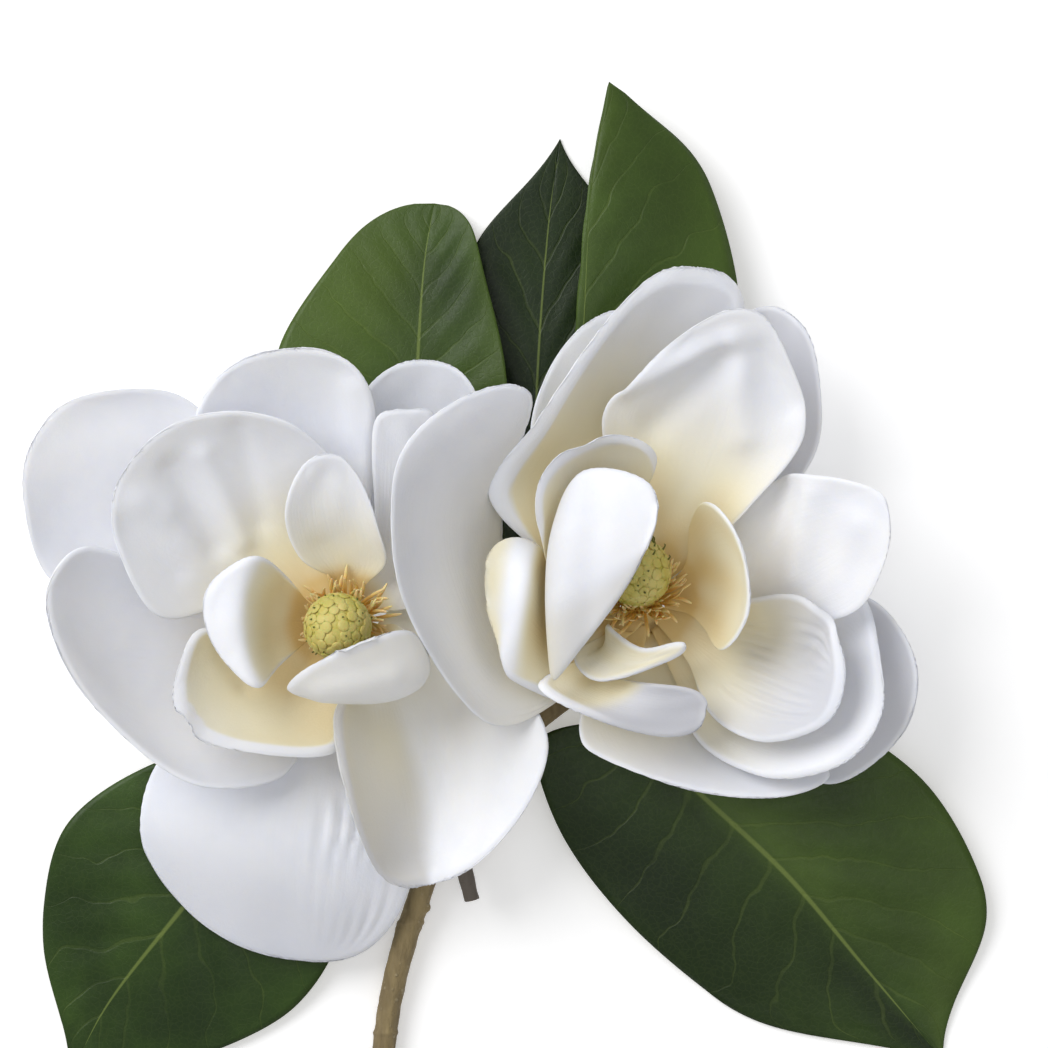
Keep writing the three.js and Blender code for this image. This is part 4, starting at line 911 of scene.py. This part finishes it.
def bump(tree, shader, distance, *parts):
    """Feeds the sum of some values, each with its strength, into the shader's normal."""
    height = None
    for value, strength in parts:
        part = maths(tree, "MULTIPLY", value, strength)
        height = part if height is None else maths(tree, "ADD", height, part)
    node = add(tree, "ShaderNodeBump", {"Height": height, "Distance": distance})
    tree.links.new(node.outputs["Normal"], shader.inputs["Normal"])


def petal_material(looks):
    """White with cooler patches, painted grey shade where petals lie in shadow, cream and gold
    towards the foot, the cream partly painted shade.
    """
    material, tree, shader = new_material("Petal white")
    cream, shade = attribute(tree, "tone"), attribute(tree, "shade")
    mottle = use(tree, "Soft mottle", Broad=28.0, Fine=900.0)
    veins = use(tree, "Long veins", Count=17.0, Length=2.2, Fan=0.3)
    base = mix(tree, between(tree, mottle["Broad"], 0.35, 0.7), looks.petal_white,
               looks.petal_cool)
    # painted shade: grey where a petal lies in shadow
    base = mix(tree, shade, base, looks.painted_petal_shade)
    # cream and gold towards the foot, the cream partly painted shade of the hollow
    base = mix(tree, between(tree, cream, 0.0, 0.6), base, looks.petal_cream)
    base = mix(tree, between(tree, cream, 0.4, 1.1), base, looks.petal_gold)
    base = mix(tree, maths(tree, "MULTIPLY", veins["Veins"], 0.03), base, looks.petal_cream)
    feed(tree, shader, Base_Color=base, IOR=1.4,
         Roughness=between(tree, mottle["Fine"], 0.3, 0.7, 0.42, 0.56),
         Subsurface_Weight=0.25, Subsurface_Scale=0.0016, Subsurface_Radius=(1.0, 0.85, 0.6))
    bump(tree, shader, 0.00035, (veins["Streaks"], 0.3), (mottle["Fine"], 0.25))
    return material


def leaf_material(looks, under):
    """Leathery green with pale veins above, or the felted side below."""
    material, tree, shader = new_material("Leaf underside" if under else "Leaf upper side")
    veins = use(tree, "Leaf veins")
    mottle = use(tree, "Soft mottle", Broad=30.0, Fine=520.0)
    light = looks.leaf_under if under else looks.leaf_light
    dark = [c * 0.72 for c in light] if under else looks.leaf_green
    base = mix(tree, between(tree, mottle["Broad"], 0.2, 0.9), dark, light)
    if not under:
        base = mix(tree, attribute(tree, "tone"), base, looks.leaf_olive)
        # painted shade: whole leaves and leaf halves that lie in shadow darkened
        base = mix(tree, attribute(tree, "shade"), base, [c * 0.4 for c in dark])
    uneven = between(tree, mottle["Broad"], 0.3, 0.7, 0.03, 0.13)
    for vein, strength in (("Net", 0.03), ("Side", uneven), ("Rib", 0.55)):
        base = mix(tree, maths(tree, "MULTIPLY", veins[vein], strength), base, looks.leaf_vein)
    rough = between(tree, mottle["Fine"], 0.3, 0.7, 0.34, 0.46)
    feed(tree, shader, Base_Color=base, Roughness=0.7 if under else rough,
         Specular_IOR_Level=0.3, IOR=1.45)
    bump(tree, shader, 0.0005, (veins["Side"], 0.8 if under else -0.2),
         (mottle["Fine"], 0.25), (veins["Net"], -0.05))
    return material


def grained_material(name, low, high, tips=None, rough=0.6, broad=160.0, glow=0.0):
    """A matte plant surface between two colours, with a third towards its tips."""
    material, tree, shader = new_material(name)
    mottle = use(tree, "Soft mottle", Broad=broad, Fine=1500.0)
    base = mix(tree, between(tree, mottle["Broad"], 0.32, 0.68), low, high)
    if tips:
        base = mix(tree, between(tree, attribute(tree, "tone"), 0.15, 0.95), base, tips)
    feed(tree, shader, Base_Color=base, Subsurface_Weight=glow, Subsurface_Scale=0.001,
         Roughness=between(tree, mottle["Fine"], 0.3, 0.7, rough - 0.1, rough + 0.12))
    bump(tree, shader, 0.0003, (mottle["Fine"], 1.0), (mottle["Broad"], 1.0))
    return material


def bark_material(looks):
    """Brown bark with pale pores, green and then gold under a flower, grey on the stub."""
    material, tree, shader = new_material("Bark")
    mottle = use(tree, "Soft mottle", Broad=90.0, Fine=900.0, Stretch=0.3)
    base = mix(tree, between(tree, mottle["Broad"], 0.3, 0.7), looks.bark_dark,
               looks.bark_light)
    place = add(tree, "ShaderNodeTexCoord").outputs["Object"]
    pores = add(tree, "ShaderNodeTexVoronoi", {"Vector": place, "Scale": 330.0},
                feature="F1").outputs["Distance"]
    pores = between(tree, pores, 0.1, 0.3, 1.0, 0.0)
    base = mix(tree, maths(tree, "MULTIPLY", pores, 0.5), base, looks.bark_spot)
    near_flower = attribute(tree, "tone")
    base = mix(tree, between(tree, near_flower, 0.1, 0.9), base, looks.shoot_green)
    base = mix(tree, between(tree, near_flower, 0.9, 1.0), base, looks.petal_gold)
    base = mix(tree, attribute(tree, "shade"), base, looks.bark_grey)
    feed(tree, shader, Base_Color=base,
         Roughness=between(tree, mottle["Fine"], 0.3, 0.7, 0.62, 0.85))
    bump(tree, shader, 0.0006, (mottle["Fine"], 0.9), (pores, 0.5))
    return material


# ---------------------------------------------------------------- pieces
def build_petals(flower, table, material, thick, seed):
    """One closed blade for each petal of a flower."""
    for k, (node, spec) in enumerate(table.items()):
        random = np.random.default_rng(seed + k)
        detail = {**PLAIN, **DETAIL.get(node, {})}
        grid, uu, vv, calm = petal_surface(flower, spec)
        relief = petal_relief(flower, detail, grid, uu, vv, calm, random)
        grid = grid + normals(grid) * relief[..., None]
        grid, rolled = roll_rim(grid, uu, vv, detail["roll"], detail["rise"])
        cream, shade = petal_colours(flower, detail, grid, uu, vv, rolled, random)
        body = thick + (CLAW_THICK - thick) * (1 - smooth(vv, 0.02, 0.2))
        rim = np.maximum(np.abs(uu) ** 9, vv**24)
        shape = Shape()
        blade(shape, grid, body * (1 - rim) + RIM_THICK * rim, (uu, vv, cream, shade))
        side, part = node.split("_petal_")
        shape.make(f"{side}_tepal_{part}", node, "petal", [material])


# radius and height of the centre, as shares
CONE_PROFILE = [[0, 0], [0.42, 0], [0.62, 0.06], [0.86, 0.22], [0.99, 0.42], [0.97, 0.6],
                [0.8, 0.79], [0.5, 0.93], [0.22, 0.985], [0, 1]]


def build_centre(flower, side, materials, hooked, seed):
    """The green centre: a dome covered in pebble-like carpels, some with dark curled tips."""
    random = np.random.default_rng(seed)
    turn, origin = flower_frame(flower)
    shape = Shape()
    wide, tall = CONE_RADIUS - 0.8, CONE_HEIGHT - 1.2
    profile = along([[r, h, 0] for r, h in CONE_PROFILE], np.linspace(0, 1, 40))[:, :2]
    profile[[0, -1], 0] = 0
    lathe(shape, profile * [wide, tall] + [0, CONE_FOOT], turn, origin, 48)
    flank, top = 8, 39  # the stretch of the profile that carries carpels
    for k in range(CARPELS):
        h = 0.1 + 0.885 * (k + 0.5) / CARPELS
        near = np.argmin(np.abs(profile[flank:, 1] - h)) + flank
        slope = profile[min(near + 1, top)] - profile[near - 1]
        lean = np.array([slope[1] * CONE_HEIGHT, -slope[0] * wide])
        lean = lean / max(np.linalg.norm(lean), 1e-6)
        angle = k * GOLDEN_ANGLE + random.uniform(-0.06, 0.06)
        spin = np.array([math.cos(angle), math.sin(angle), 0])
        out = turn @ unit(spin * lean[0] + np.array([0, 0, lean[1]]))
        place = spin * profile[near, 0] * wide + np.array([0, 0, CONE_FOOT + h * tall])
        place = turn @ place + origin
        size = random.uniform(0.9, 1.1)
        pebble(shape, place, out, 2.1 * size, 2.3 * size, 0.5 * size, 0.6 * h)
        lowest, share = (0.66, 0.5) if hooked else (0.3, 0.2)
        if h > lowest and random.random() < share:
            long = random.uniform(1.5, 2.6) if hooked else random.uniform(0.5, 1.0)
            curled_tip(shape, place + out * 0.5 * size, out, turn[:, 2], long, random)
    shape.make(f"{side}_cone", f"{side}_centre", "centre", materials)


def curled_tip(shape, foot, out, lift, long, random):
    """A dark, tapered tip that curls up and to one side."""
    curl = unit(out + lift * 0.6)
    aside = unit(np.cross(curl, lift) + 1e-6) * random.uniform(-0.5, 0.5)
    path = [[*foot, 0.36], [*(foot + curl * long * 0.5 + aside * 0.3), 0.3],
            [*(foot + curl * long * 0.8 + (lift * 0.35 + aside) * long * 0.5), 0.24],
            [*(foot + curl * long * 0.6 + (lift * 0.7 + aside * 2) * long * 0.6), 0.14]]
    tube(shape, path, 6, 7, slot=1, tone=1.0)


# a stamen's half width in mm at shares of its length
STAMEN_WIDTHS = [(0, 0.5), (0.3, 0.58), (0.65, 0.66), (0.88, 0.56), (1.0, 0.24)]


def build_stamens(flower, side, materials, longest, seed):
    """The ring of flat, tapered stamens, longest towards one plan direction in degrees."""
    random = np.random.default_rng(seed)
    turn, origin = flower_frame(flower)
    shape = Shape()
    inner, low = SPIGOT_RADIUS + SEAT_GAP, SPIGOT_FOOT + SEAT_GAP
    foot_ring(shape, inner, low, turn, origin)
    for row in range(STAMEN_ROWS):
        for k in range(STAMENS_A_ROW):
            step = k + 0.5 * (row % 2) + random.uniform(-0.3, 0.3)
            a = step / STAMENS_A_ROW * 2 * math.pi
            rise = math.radians(18 + 15 * row + random.uniform(-8, 10))
            reach = 0.8 + 0.2 * math.cos(a - math.radians(longest))
            long = STAMEN_LENGTH * random.uniform(0.8, 1.15) * (1.08 - 0.05 * row) * reach
            spin = np.array([math.cos(a), math.sin(a), 0])
            beside = np.array([-math.sin(a), math.cos(a), 0])
            start = spin * (inner + 2.2 - 0.3 * row) + np.array([0, 0, low + 0.6 + 0.75 * row])
            sway, bend = random.uniform(-0.4, 0.4), random.uniform(-0.2, 0.5)
            path = []
            for t, width in STAMEN_WIDTHS:
                tilt = rise + bend * t
                ahead = spin * math.cos(tilt) + np.array([0, 0, math.sin(tilt)])
                at = start + ahead * long * t + beside * sway * long * t * t
                path.append([*(turn @ at + origin), width])
            face = turn @ (-spin * math.sin(rise) + np.array([0, 0, math.cos(rise)]))
            tube(shape, path, 8, 10, flat=0.5, face=face)
    shape.make(f"{side}_stamen_ring", f"{side}_stamens", "stamen", materials)


def foot_ring(shape, inner, low, turn, origin):
    """The ring round the peg in which the stamens stand."""
    section = [[inner, low], [inner + 2.9, low], [inner + 3.3, low + 1.4],
               [inner + 2.2, low + 3.6], [inner, low + 3.6]]
    sides = 40
    angle = np.linspace(0, 2 * math.pi, sides, endpoint=False)
    points = [[r * math.cos(a), r * math.sin(a), h] for r, h in section for a in angle]
    whole = len(points)
    faces = [tuple(i % whole for i in f) for f in ring_faces(len(section), sides)]
    shape.add(np.array(points) @ turn.T + origin, faces)


# how olive each leaf is, and its painted shade: how dark the whole leaf and how much darker its
# right half
LEAF_LOOK = {"leaf_top_left": (0.36, 0.0, 0.0), "leaf_top_middle": (0.0, 0.75, 0.0),
             "leaf_top_right": (0.34, 0.0, 0.0), "leaf_low_left": (0.05, 0.2, 0.0),
             "leaf_low_right": (0.3, 0.0, 0.6)}


def build_leaf(node, spec, materials, seed):
    """One leathery blade with its stalk and raised midrib."""
    random = np.random.default_rng(seed)
    grid, uu, vv, opened = leaf_surface(spec)
    relief = leaf_relief(grid, uu, vv, opened, random)
    grid = grid + normals(grid) * relief[..., None]
    grid[..., 2] = np.maximum(grid[..., 2], LEAF_LOW)
    last = len(spec["mid"])
    stem = (1 - smooth(vv, STALK_END / last, 1.2 / last)) * STALK_WIDTH * 0.8
    rib = 1.5 * (1 - 0.85 * vv) * np.exp(-((uu / 0.045) ** 2))
    thick = np.maximum(LEAF_THICK + rib, stem * np.sqrt(np.maximum(1 - 0.75 * uu**2, 0)))
    thick = thick * (1 - 0.45 * np.abs(uu) ** 10)
    tone, shade = leaf_colours(LEAF_LOOK[node], uu, vv, random)
    shape = Shape()
    blade(shape, grid, thick, (uu, vv, tone, shade), slots=(0, 1))
    for points in shape.points:
        points[:, 2] = np.maximum(points[:, 2], FLOOR_GAP)
    shape.make(node.replace("leaf_", "foliage_"), node, "leaf", materials)


def wood_shape():
    """The twig, its shoots, stub, leaf scars and the ends that carry the flowers."""
    shape = Shape()
    for key, sides, steps in (("twig", 40, 90), ("left_shoot", 36, 50),
                              ("right_shoot", 36, 50), ("stub", 30, 20)):
        tube(shape, np.array(WOOD[key], float) * UNIT, sides, steps)
    top = SPIGOT_FOOT
    profile = [[0, -9.5], [4.6, -9.5], [6.2, -6], [RECEPTACLE_RADIUS, -2.5],
               [RECEPTACLE_RADIUS, top - 1], [RECEPTACLE_RADIUS - 0.9, top],
               [SPIGOT_RADIUS, top], [SPIGOT_RADIUS, top + SPIGOT_HEIGHT],
               [0, top + SPIGOT_HEIGHT]]
    for flower in (LEFT, RIGHT):
        lathe(shape, profile, *flower_frame(flower), 40)
    out = unit(np.array([0.75, 0.1, 0.6]))
    for x, y, z in SCARS:
        place = (np.array([x, y, z]) + [1.4, 0, 1.0]) * UNIT
        pebble(shape, place, out, 2.4, 1.9, 2.4, 0.0)
    return shape


def fused(rough):
    """One even skin over a shape whose parts overlap: its points in mm, normals and faces."""
    mesh = bpy.data.meshes.new("Wood cores")
    mesh.from_pydata((np.vstack(rough.points) * MM).tolist(), [], rough.faces)
    core = bpy.data.objects.new("Wood cores", mesh)
    bpy.context.scene.collection.objects.link(core)
    fuse = core.modifiers.new("Fuse", "REMESH")
    fuse.mode, fuse.voxel_size = "VOXEL", 0.00055
    ease = core.modifiers.new("Ease", "SMOOTH")
    ease.factor, ease.iterations = 0.5, 3
    done = core.evaluated_get(bpy.context.evaluated_depsgraph_get())
    skin = bpy.data.meshes.new_from_object(done)
    points, out = np.empty(len(skin.vertices) * 3), np.empty(len(skin.vertices) * 3)
    skin.vertices.foreach_get("co", points)
    skin.vertex_normals.foreach_get("vector", out)
    faces = [tuple(p.vertices) for p in skin.polygons]
    bpy.data.objects.remove(core)
    return points.reshape(-1, 3) / MM, out.reshape(-1, 3), faces


def nearness_to_flowers(points):
    """From 0 on the bark to 1 at the end of the wood under each flower."""
    near = np.zeros(len(points))
    for flower in (LEFT, RIGHT):
        turn, origin = flower_frame(flower)
        local = (points - origin) @ turn
        beside = np.linalg.norm(local[:, :2], axis=1) < RECEPTACLE_RADIUS + 1.5
        near = np.maximum(near, np.where(beside, smooth(local[:, 2], -26, -4), 0))
    return near


def bark_height(points):
    """Height in mm of the ridges, knots and ring scars."""
    run = -points[:, 1] / UNIT
    rings = np.zeros(len(points))
    for at, tall in RING_SCARS:
        rings += tall * np.exp(-(((run - at) / 0.5) ** 2)) * smooth(run, 56, 60)
    ridges = np.array([noise.fractal(Vector(p), 1.0, 2.0, 3) for p in points * [0.9, 0.22, 0.9]])
    knots = np.array([noise.noise(Vector(p)) for p in points * 0.16])
    return 0.16 * ridges + 0.3 * knots + rings


def oldness(points):
    """From 0 on young bark to 1 at the end of the old stub."""
    start, end = np.array(WOOD["stub"], float)[[0, -1], :3] * UNIT
    run = end - start
    t = np.clip((points - start) @ run / (run @ run), 0, 1)
    off = np.linalg.norm(points - start - t[:, None] * run, axis=1)
    return smooth(t, 0.3, 0.6) * (1 - smooth(off, 4.5, 6.5))


def build_branch(materials):
    """One skin over the wood, with bark ridges, ring scars and cut ends."""
    points, out, faces = fused(wood_shape())
    flowers = nearness_to_flowers(points)
    points = points + out * ((1 - flowers) * bark_height(points) - 0.1)[:, None]
    points[:, 2] = np.maximum(points[:, 2], 0)
    shape = Shape()
    shape.add(points, faces, 0, 0.0, 0.0, flowers, oldness(points))
    for key, end, inner in (("twig", 0, 1), ("stub", -1, -2)):
        line = np.array(WOOD[key], float)[:, :3] * UNIT
        ahead, radius = unit(line[end] - line[inner]), WOOD[key][end][3] * UNIT
        for k, face in enumerate(faces):
            off = points[list(face)].mean(0) - line[end]
            if abs(off @ ahead) < 0.8 and np.linalg.norm(off) < radius - 0.7:
                shape.slots[k] = 1  # the cut wood
    shape.make("woody_shoot", "branch", "bark", materials)


# ---------------------------------------------------------------- what a user may change
def tint(label, what, value):
    """A colour property."""
    return FloatVectorProperty(name=label, description=what, subtype="COLOR", size=3,
                               min=0.0, max=1.0, default=value)


class MagnoliaColours(bpy.types.PropertyGroup):
    """Colours of the flowers, leaves and wood."""
    petal_white: tint("Petal white", "Colour of a petal's open blade", (0.885, 0.895, 0.935))
    petal_cool: tint("Petal shade", "Cooler patches of the blade", (0.82, 0.84, 0.905))
    # painted shade: the grey laid on petals that lie in shadow
    painted_petal_shade: tint("Petal grey", "Grey of the thin outer petals", (0.47, 0.48, 0.53))
    # partly painted shade: the cream also stands in for the shadow deep in the flower
    petal_cream: tint("Petal cream", "Colour towards a petal's foot", (0.84, 0.78, 0.58))
    petal_gold: tint("Petal gold", "Colour right at the stamens", (0.7, 0.52, 0.22))
    carpel_green: tint("Centre green", "Pebbles of the centre", (0.5, 0.44, 0.065))
    carpel_yellow: tint("Centre yellow", "Pale side of the pebbles", (0.64, 0.55, 0.18))
    stigma: tint("Curled tips", "Dark curled tips of the centre", (0.09, 0.1, 0.015))
    stamen: tint("Stamens", "Foot of the stamens", (0.68, 0.43, 0.075))
    stamen_tip: tint("Stamen tips", "Ends of the stamens", (0.84, 0.68, 0.34))
    leaf_green: tint("Leaf green", "Upper side of the leaves", (0.012, 0.032, 0.005))
    leaf_light: tint("Leaf light green", "Lighter patches of the leaves", (0.05, 0.105, 0.014))
    leaf_olive: tint("Leaf olive", "Younger leaves and stalks", (0.1, 0.15, 0.022))
    leaf_vein: tint("Leaf veins", "Midrib and side veins", (0.2, 0.26, 0.06))
    leaf_under: tint("Leaf underside", "Felted underside", (0.2, 0.19, 0.09))
    bark_dark: tint("Dark bark", "Hollows of the bark", (0.15, 0.11, 0.05))
    bark_light: tint("Light bark", "Crests of the bark", (0.34, 0.26, 0.12))
    bark_grey: tint("Old bark", "Bark of the cut stub", (0.13, 0.11, 0.09))
    bark_spot: tint("Bark spots", "Pale breathing pores", (0.36, 0.3, 0.18))
    shoot_green: tint("Green shoot", "Wood just under a flower", (0.22, 0.26, 0.08))
    cut_wood: tint("Cut wood", "The cut ends", (0.45, 0.36, 0.22))
    ground: tint("Floor", "The plain floor", (0.95, 0.95, 0.95))


class MagnoliaSizes(bpy.types.PropertyGroup):
    """Sizes and counts that change the dressing only."""
    petal_thick: FloatProperty(
        name="Petal thickness", description="Thickness of a petal's blade",
        default=PETAL_THICK * MM, min=0.0004, max=0.0015, unit="LENGTH")
    key_power: FloatProperty(
        name="Main light", description="Power of the large soft light", default=29.5,
        min=0.0, unit="POWER")
    sky: FloatProperty(
        name="Room light", description="Strength of the even light from all round",
        default=0.48, min=0.0)
    seed: IntProperty(name="Seed", description="Start of the random draws", default=7, min=0)


# ---------------------------------------------------------------- operators
def once(name, make, *values, **settings):
    """The material of that name, made the first time that it is asked for."""
    found = bpy.data.materials.get(name)
    if found:
        return found
    if "Soft mottle" not in bpy.data.node_groups:
        for build in (build_mottle, build_long_veins, build_leaf_veins):
            build()
    return make(*values, **settings)


class MAGNOLIA_OT_left_petals(bpy.types.Operator):
    """Build the left flower's petals"""
    bl_idname = "magnolia.left_petals"
    bl_label = "Left petals"

    def execute(self, context):
        looks, sizes = context.scene.magnolia_colours, context.scene.magnolia_sizes
        white = once("Petal white", petal_material, looks)
        build_petals(LEFT, LEFT_PETALS, white, sizes.petal_thick / MM, 100 + sizes.seed)
        return {"FINISHED"}


class MAGNOLIA_OT_right_petals(bpy.types.Operator):
    """Build the right flower's petals"""
    bl_idname = "magnolia.right_petals"
    bl_label = "Right petals"

    def execute(self, context):
        looks, sizes = context.scene.magnolia_colours, context.scene.magnolia_sizes
        white = once("Petal white", petal_material, looks)
        build_petals(RIGHT, RIGHT_PETALS, white, sizes.petal_thick / MM, 200 + sizes.seed)
        return {"FINISHED"}


class MAGNOLIA_OT_centres(bpy.types.Operator):
    """Build both green centres"""
    bl_idname = "magnolia.centres"
    bl_label = "Centres"

    def execute(self, context):
        looks, sizes = context.scene.magnolia_colours, context.scene.magnolia_sizes
        green = once("Carpel green", grained_material, "Carpel green", looks.carpel_green,
                     looks.carpel_yellow, looks.carpel_yellow, rough=0.5, broad=130.0, glow=0.2)
        dark = once("Curled tip", grained_material, "Curled tip", looks.stigma,
                    [c * 1.6 for c in looks.stigma], rough=0.55)
        build_centre(LEFT, "left", [green, dark], False, 30 + sizes.seed)
        build_centre(RIGHT, "right", [green, dark], True, 31 + sizes.seed)
        return {"FINISHED"}


class MAGNOLIA_OT_stamens(bpy.types.Operator):
    """Build both rings of stamens"""
    bl_idname = "magnolia.stamens"
    bl_label = "Stamens"

    def execute(self, context):
        looks, sizes = context.scene.magnolia_colours, context.scene.magnolia_sizes
        gold = once("Stamen gold", grained_material, "Stamen gold", looks.stamen,
                    [min(c * 1.25, 1.0) for c in looks.stamen], looks.stamen_tip,
                    rough=0.6, broad=400.0, glow=0.4)
        build_stamens(LEFT, "left", [gold], 35, 40 + sizes.seed)
        build_stamens(RIGHT, "right", [gold], 290, 41 + sizes.seed)
        return {"FINISHED"}


class MAGNOLIA_OT_branch(bpy.types.Operator):
    """Build the twig, its shoots and the cut stub"""
    bl_idname = "magnolia.branch"
    bl_label = "Branch"

    def execute(self, context):
        looks = context.scene.magnolia_colours
        bark = once("Bark", bark_material, looks)
        cut = once("Cut wood", grained_material, "Cut wood", [c * 0.6 for c in looks.cut_wood],
                   looks.cut_wood, rough=0.75, broad=700.0)
        build_branch([bark, cut])
        return {"FINISHED"}


class MAGNOLIA_OT_leaves(bpy.types.Operator):
    """Build the five leaves"""
    bl_idname = "magnolia.leaves"
    bl_label = "Leaves"

    def execute(self, context):
        looks, sizes = context.scene.magnolia_colours, context.scene.magnolia_sizes
        upper = once("Leaf upper side", leaf_material, looks, False)
        under = once("Leaf underside", leaf_material, looks, True)
        for k, (node, spec) in enumerate(LEAVES.items()):
            build_leaf(node, spec, [upper, under], 60 + k + sizes.seed)
        return {"FINISHED"}


class MAGNOLIA_OT_stage(bpy.types.Operator):
    """Build the floor, the lights and the camera"""
    bl_idname = "magnolia.stage"
    bl_label = "Floor, lights and camera"

    def execute(self, context):
        looks, sizes = context.scene.magnolia_colours, context.scene.magnolia_sizes
        build_stage(context, looks, sizes)
        return {"FINISHED"}


def build_stage(context, looks, sizes):
    """A plain floor, one large soft light from the upper left, even room light, a camera."""
    half = FLOOR_HALF
    mesh = bpy.data.meshes.new("Floor")
    mesh.from_pydata([(-half, -half, 0), (half, -half, 0), (half, half, 0), (-half, half, 0)],
                     [], [(0, 1, 2, 3)])
    floor = bpy.data.objects.new("Floor", mesh)
    context.scene.collection.objects.link(floor)
    material, tree, shader = new_material("Floor")
    mottle = use(tree, "Soft mottle", Broad=6.0, Fine=300.0)
    base = mix(tree, between(tree, mottle["Broad"], 0.3, 0.7), looks.ground,
               [c * 0.99 for c in looks.ground])
    feed(tree, shader, Base_Color=base, Roughness=0.9, Emission_Color=base,
         Emission_Strength=0.28)
    mesh.materials.append(material)

    world = bpy.data.worlds.new("Room")
    context.scene.world = world
    world.use_nodes = True
    background = world.node_tree.nodes["Background"]
    background.inputs["Color"].default_value = (1.0, 1.0, 1.0, 1.0)
    background.inputs["Strength"].default_value = sizes.sky
    for name, place, size, power, tone in LIGHTS:
        data = bpy.data.lights.new(name, "AREA")
        data.shape, data.size, data.energy, data.color = "DISK", size, power * sizes.key_power, tone
        light = bpy.data.objects.new(name, data)
        light.location = place
        aim = Vector(LIGHT_AIM) - Vector(place)
        light.rotation_euler = aim.to_track_quat("-Z", "Y").to_euler()
        context.scene.collection.objects.link(light)

    data = bpy.data.cameras.new("Camera")
    data.sensor_width, data.lens = 36.0, CAMERA_LENS
    data.clip_start, data.clip_end = 0.05, 20.0
    camera = bpy.data.objects.new("Camera", data)
    camera.location = CAMERA_PLACE
    context.scene.collection.objects.link(camera)
    context.scene.camera = camera
    context.scene.view_settings.view_transform = "Standard"


OPERATORS = (MAGNOLIA_OT_left_petals, MAGNOLIA_OT_right_petals, MAGNOLIA_OT_centres,
             MAGNOLIA_OT_stamens, MAGNOLIA_OT_branch, MAGNOLIA_OT_leaves, MAGNOLIA_OT_stage)


class MAGNOLIA_PT_panel(bpy.types.Panel):
    """The pieces of the magnolia branch"""
    bl_label = "Magnolia branch"
    bl_idname = "MAGNOLIA_PT_panel"
    bl_space_type = "VIEW_3D"
    bl_region_type = "UI"
    bl_category = "Magnolia"

    def draw(self, context):
        for operator in OPERATORS:
            self.layout.operator(operator.bl_idname)
        for owner in (context.scene.magnolia_sizes, context.scene.magnolia_colours):
            box = self.layout.box()
            for key in owner.__annotations__:
                box.prop(owner, key)


CLASSES = (MagnoliaColours, MagnoliaSizes, *OPERATORS, MAGNOLIA_PT_panel)


def register():
    """Adds the classes and the scene's settings."""
    for cls in CLASSES:
        bpy.utils.register_class(cls)
    bpy.types.Scene.magnolia_colours = PointerProperty(type=MagnoliaColours)
    bpy.types.Scene.magnolia_sizes = PointerProperty(type=MagnoliaSizes)


def unregister():
    """Takes them away again."""
    del bpy.types.Scene.magnolia_sizes
    del bpy.types.Scene.magnolia_colours
    for cls in reversed(CLASSES):
        bpy.utils.unregister_class(cls)


def main():
    """Builds every piece."""
    register()
    bpy.ops.magnolia.left_petals()
    bpy.ops.magnolia.right_petals()
    bpy.ops.magnolia.centres()
    bpy.ops.magnolia.stamens()
    bpy.ops.magnolia.branch()
    bpy.ops.magnolia.leaves()
    bpy.ops.magnolia.stage()


if __name__ == "__main__":
    main()
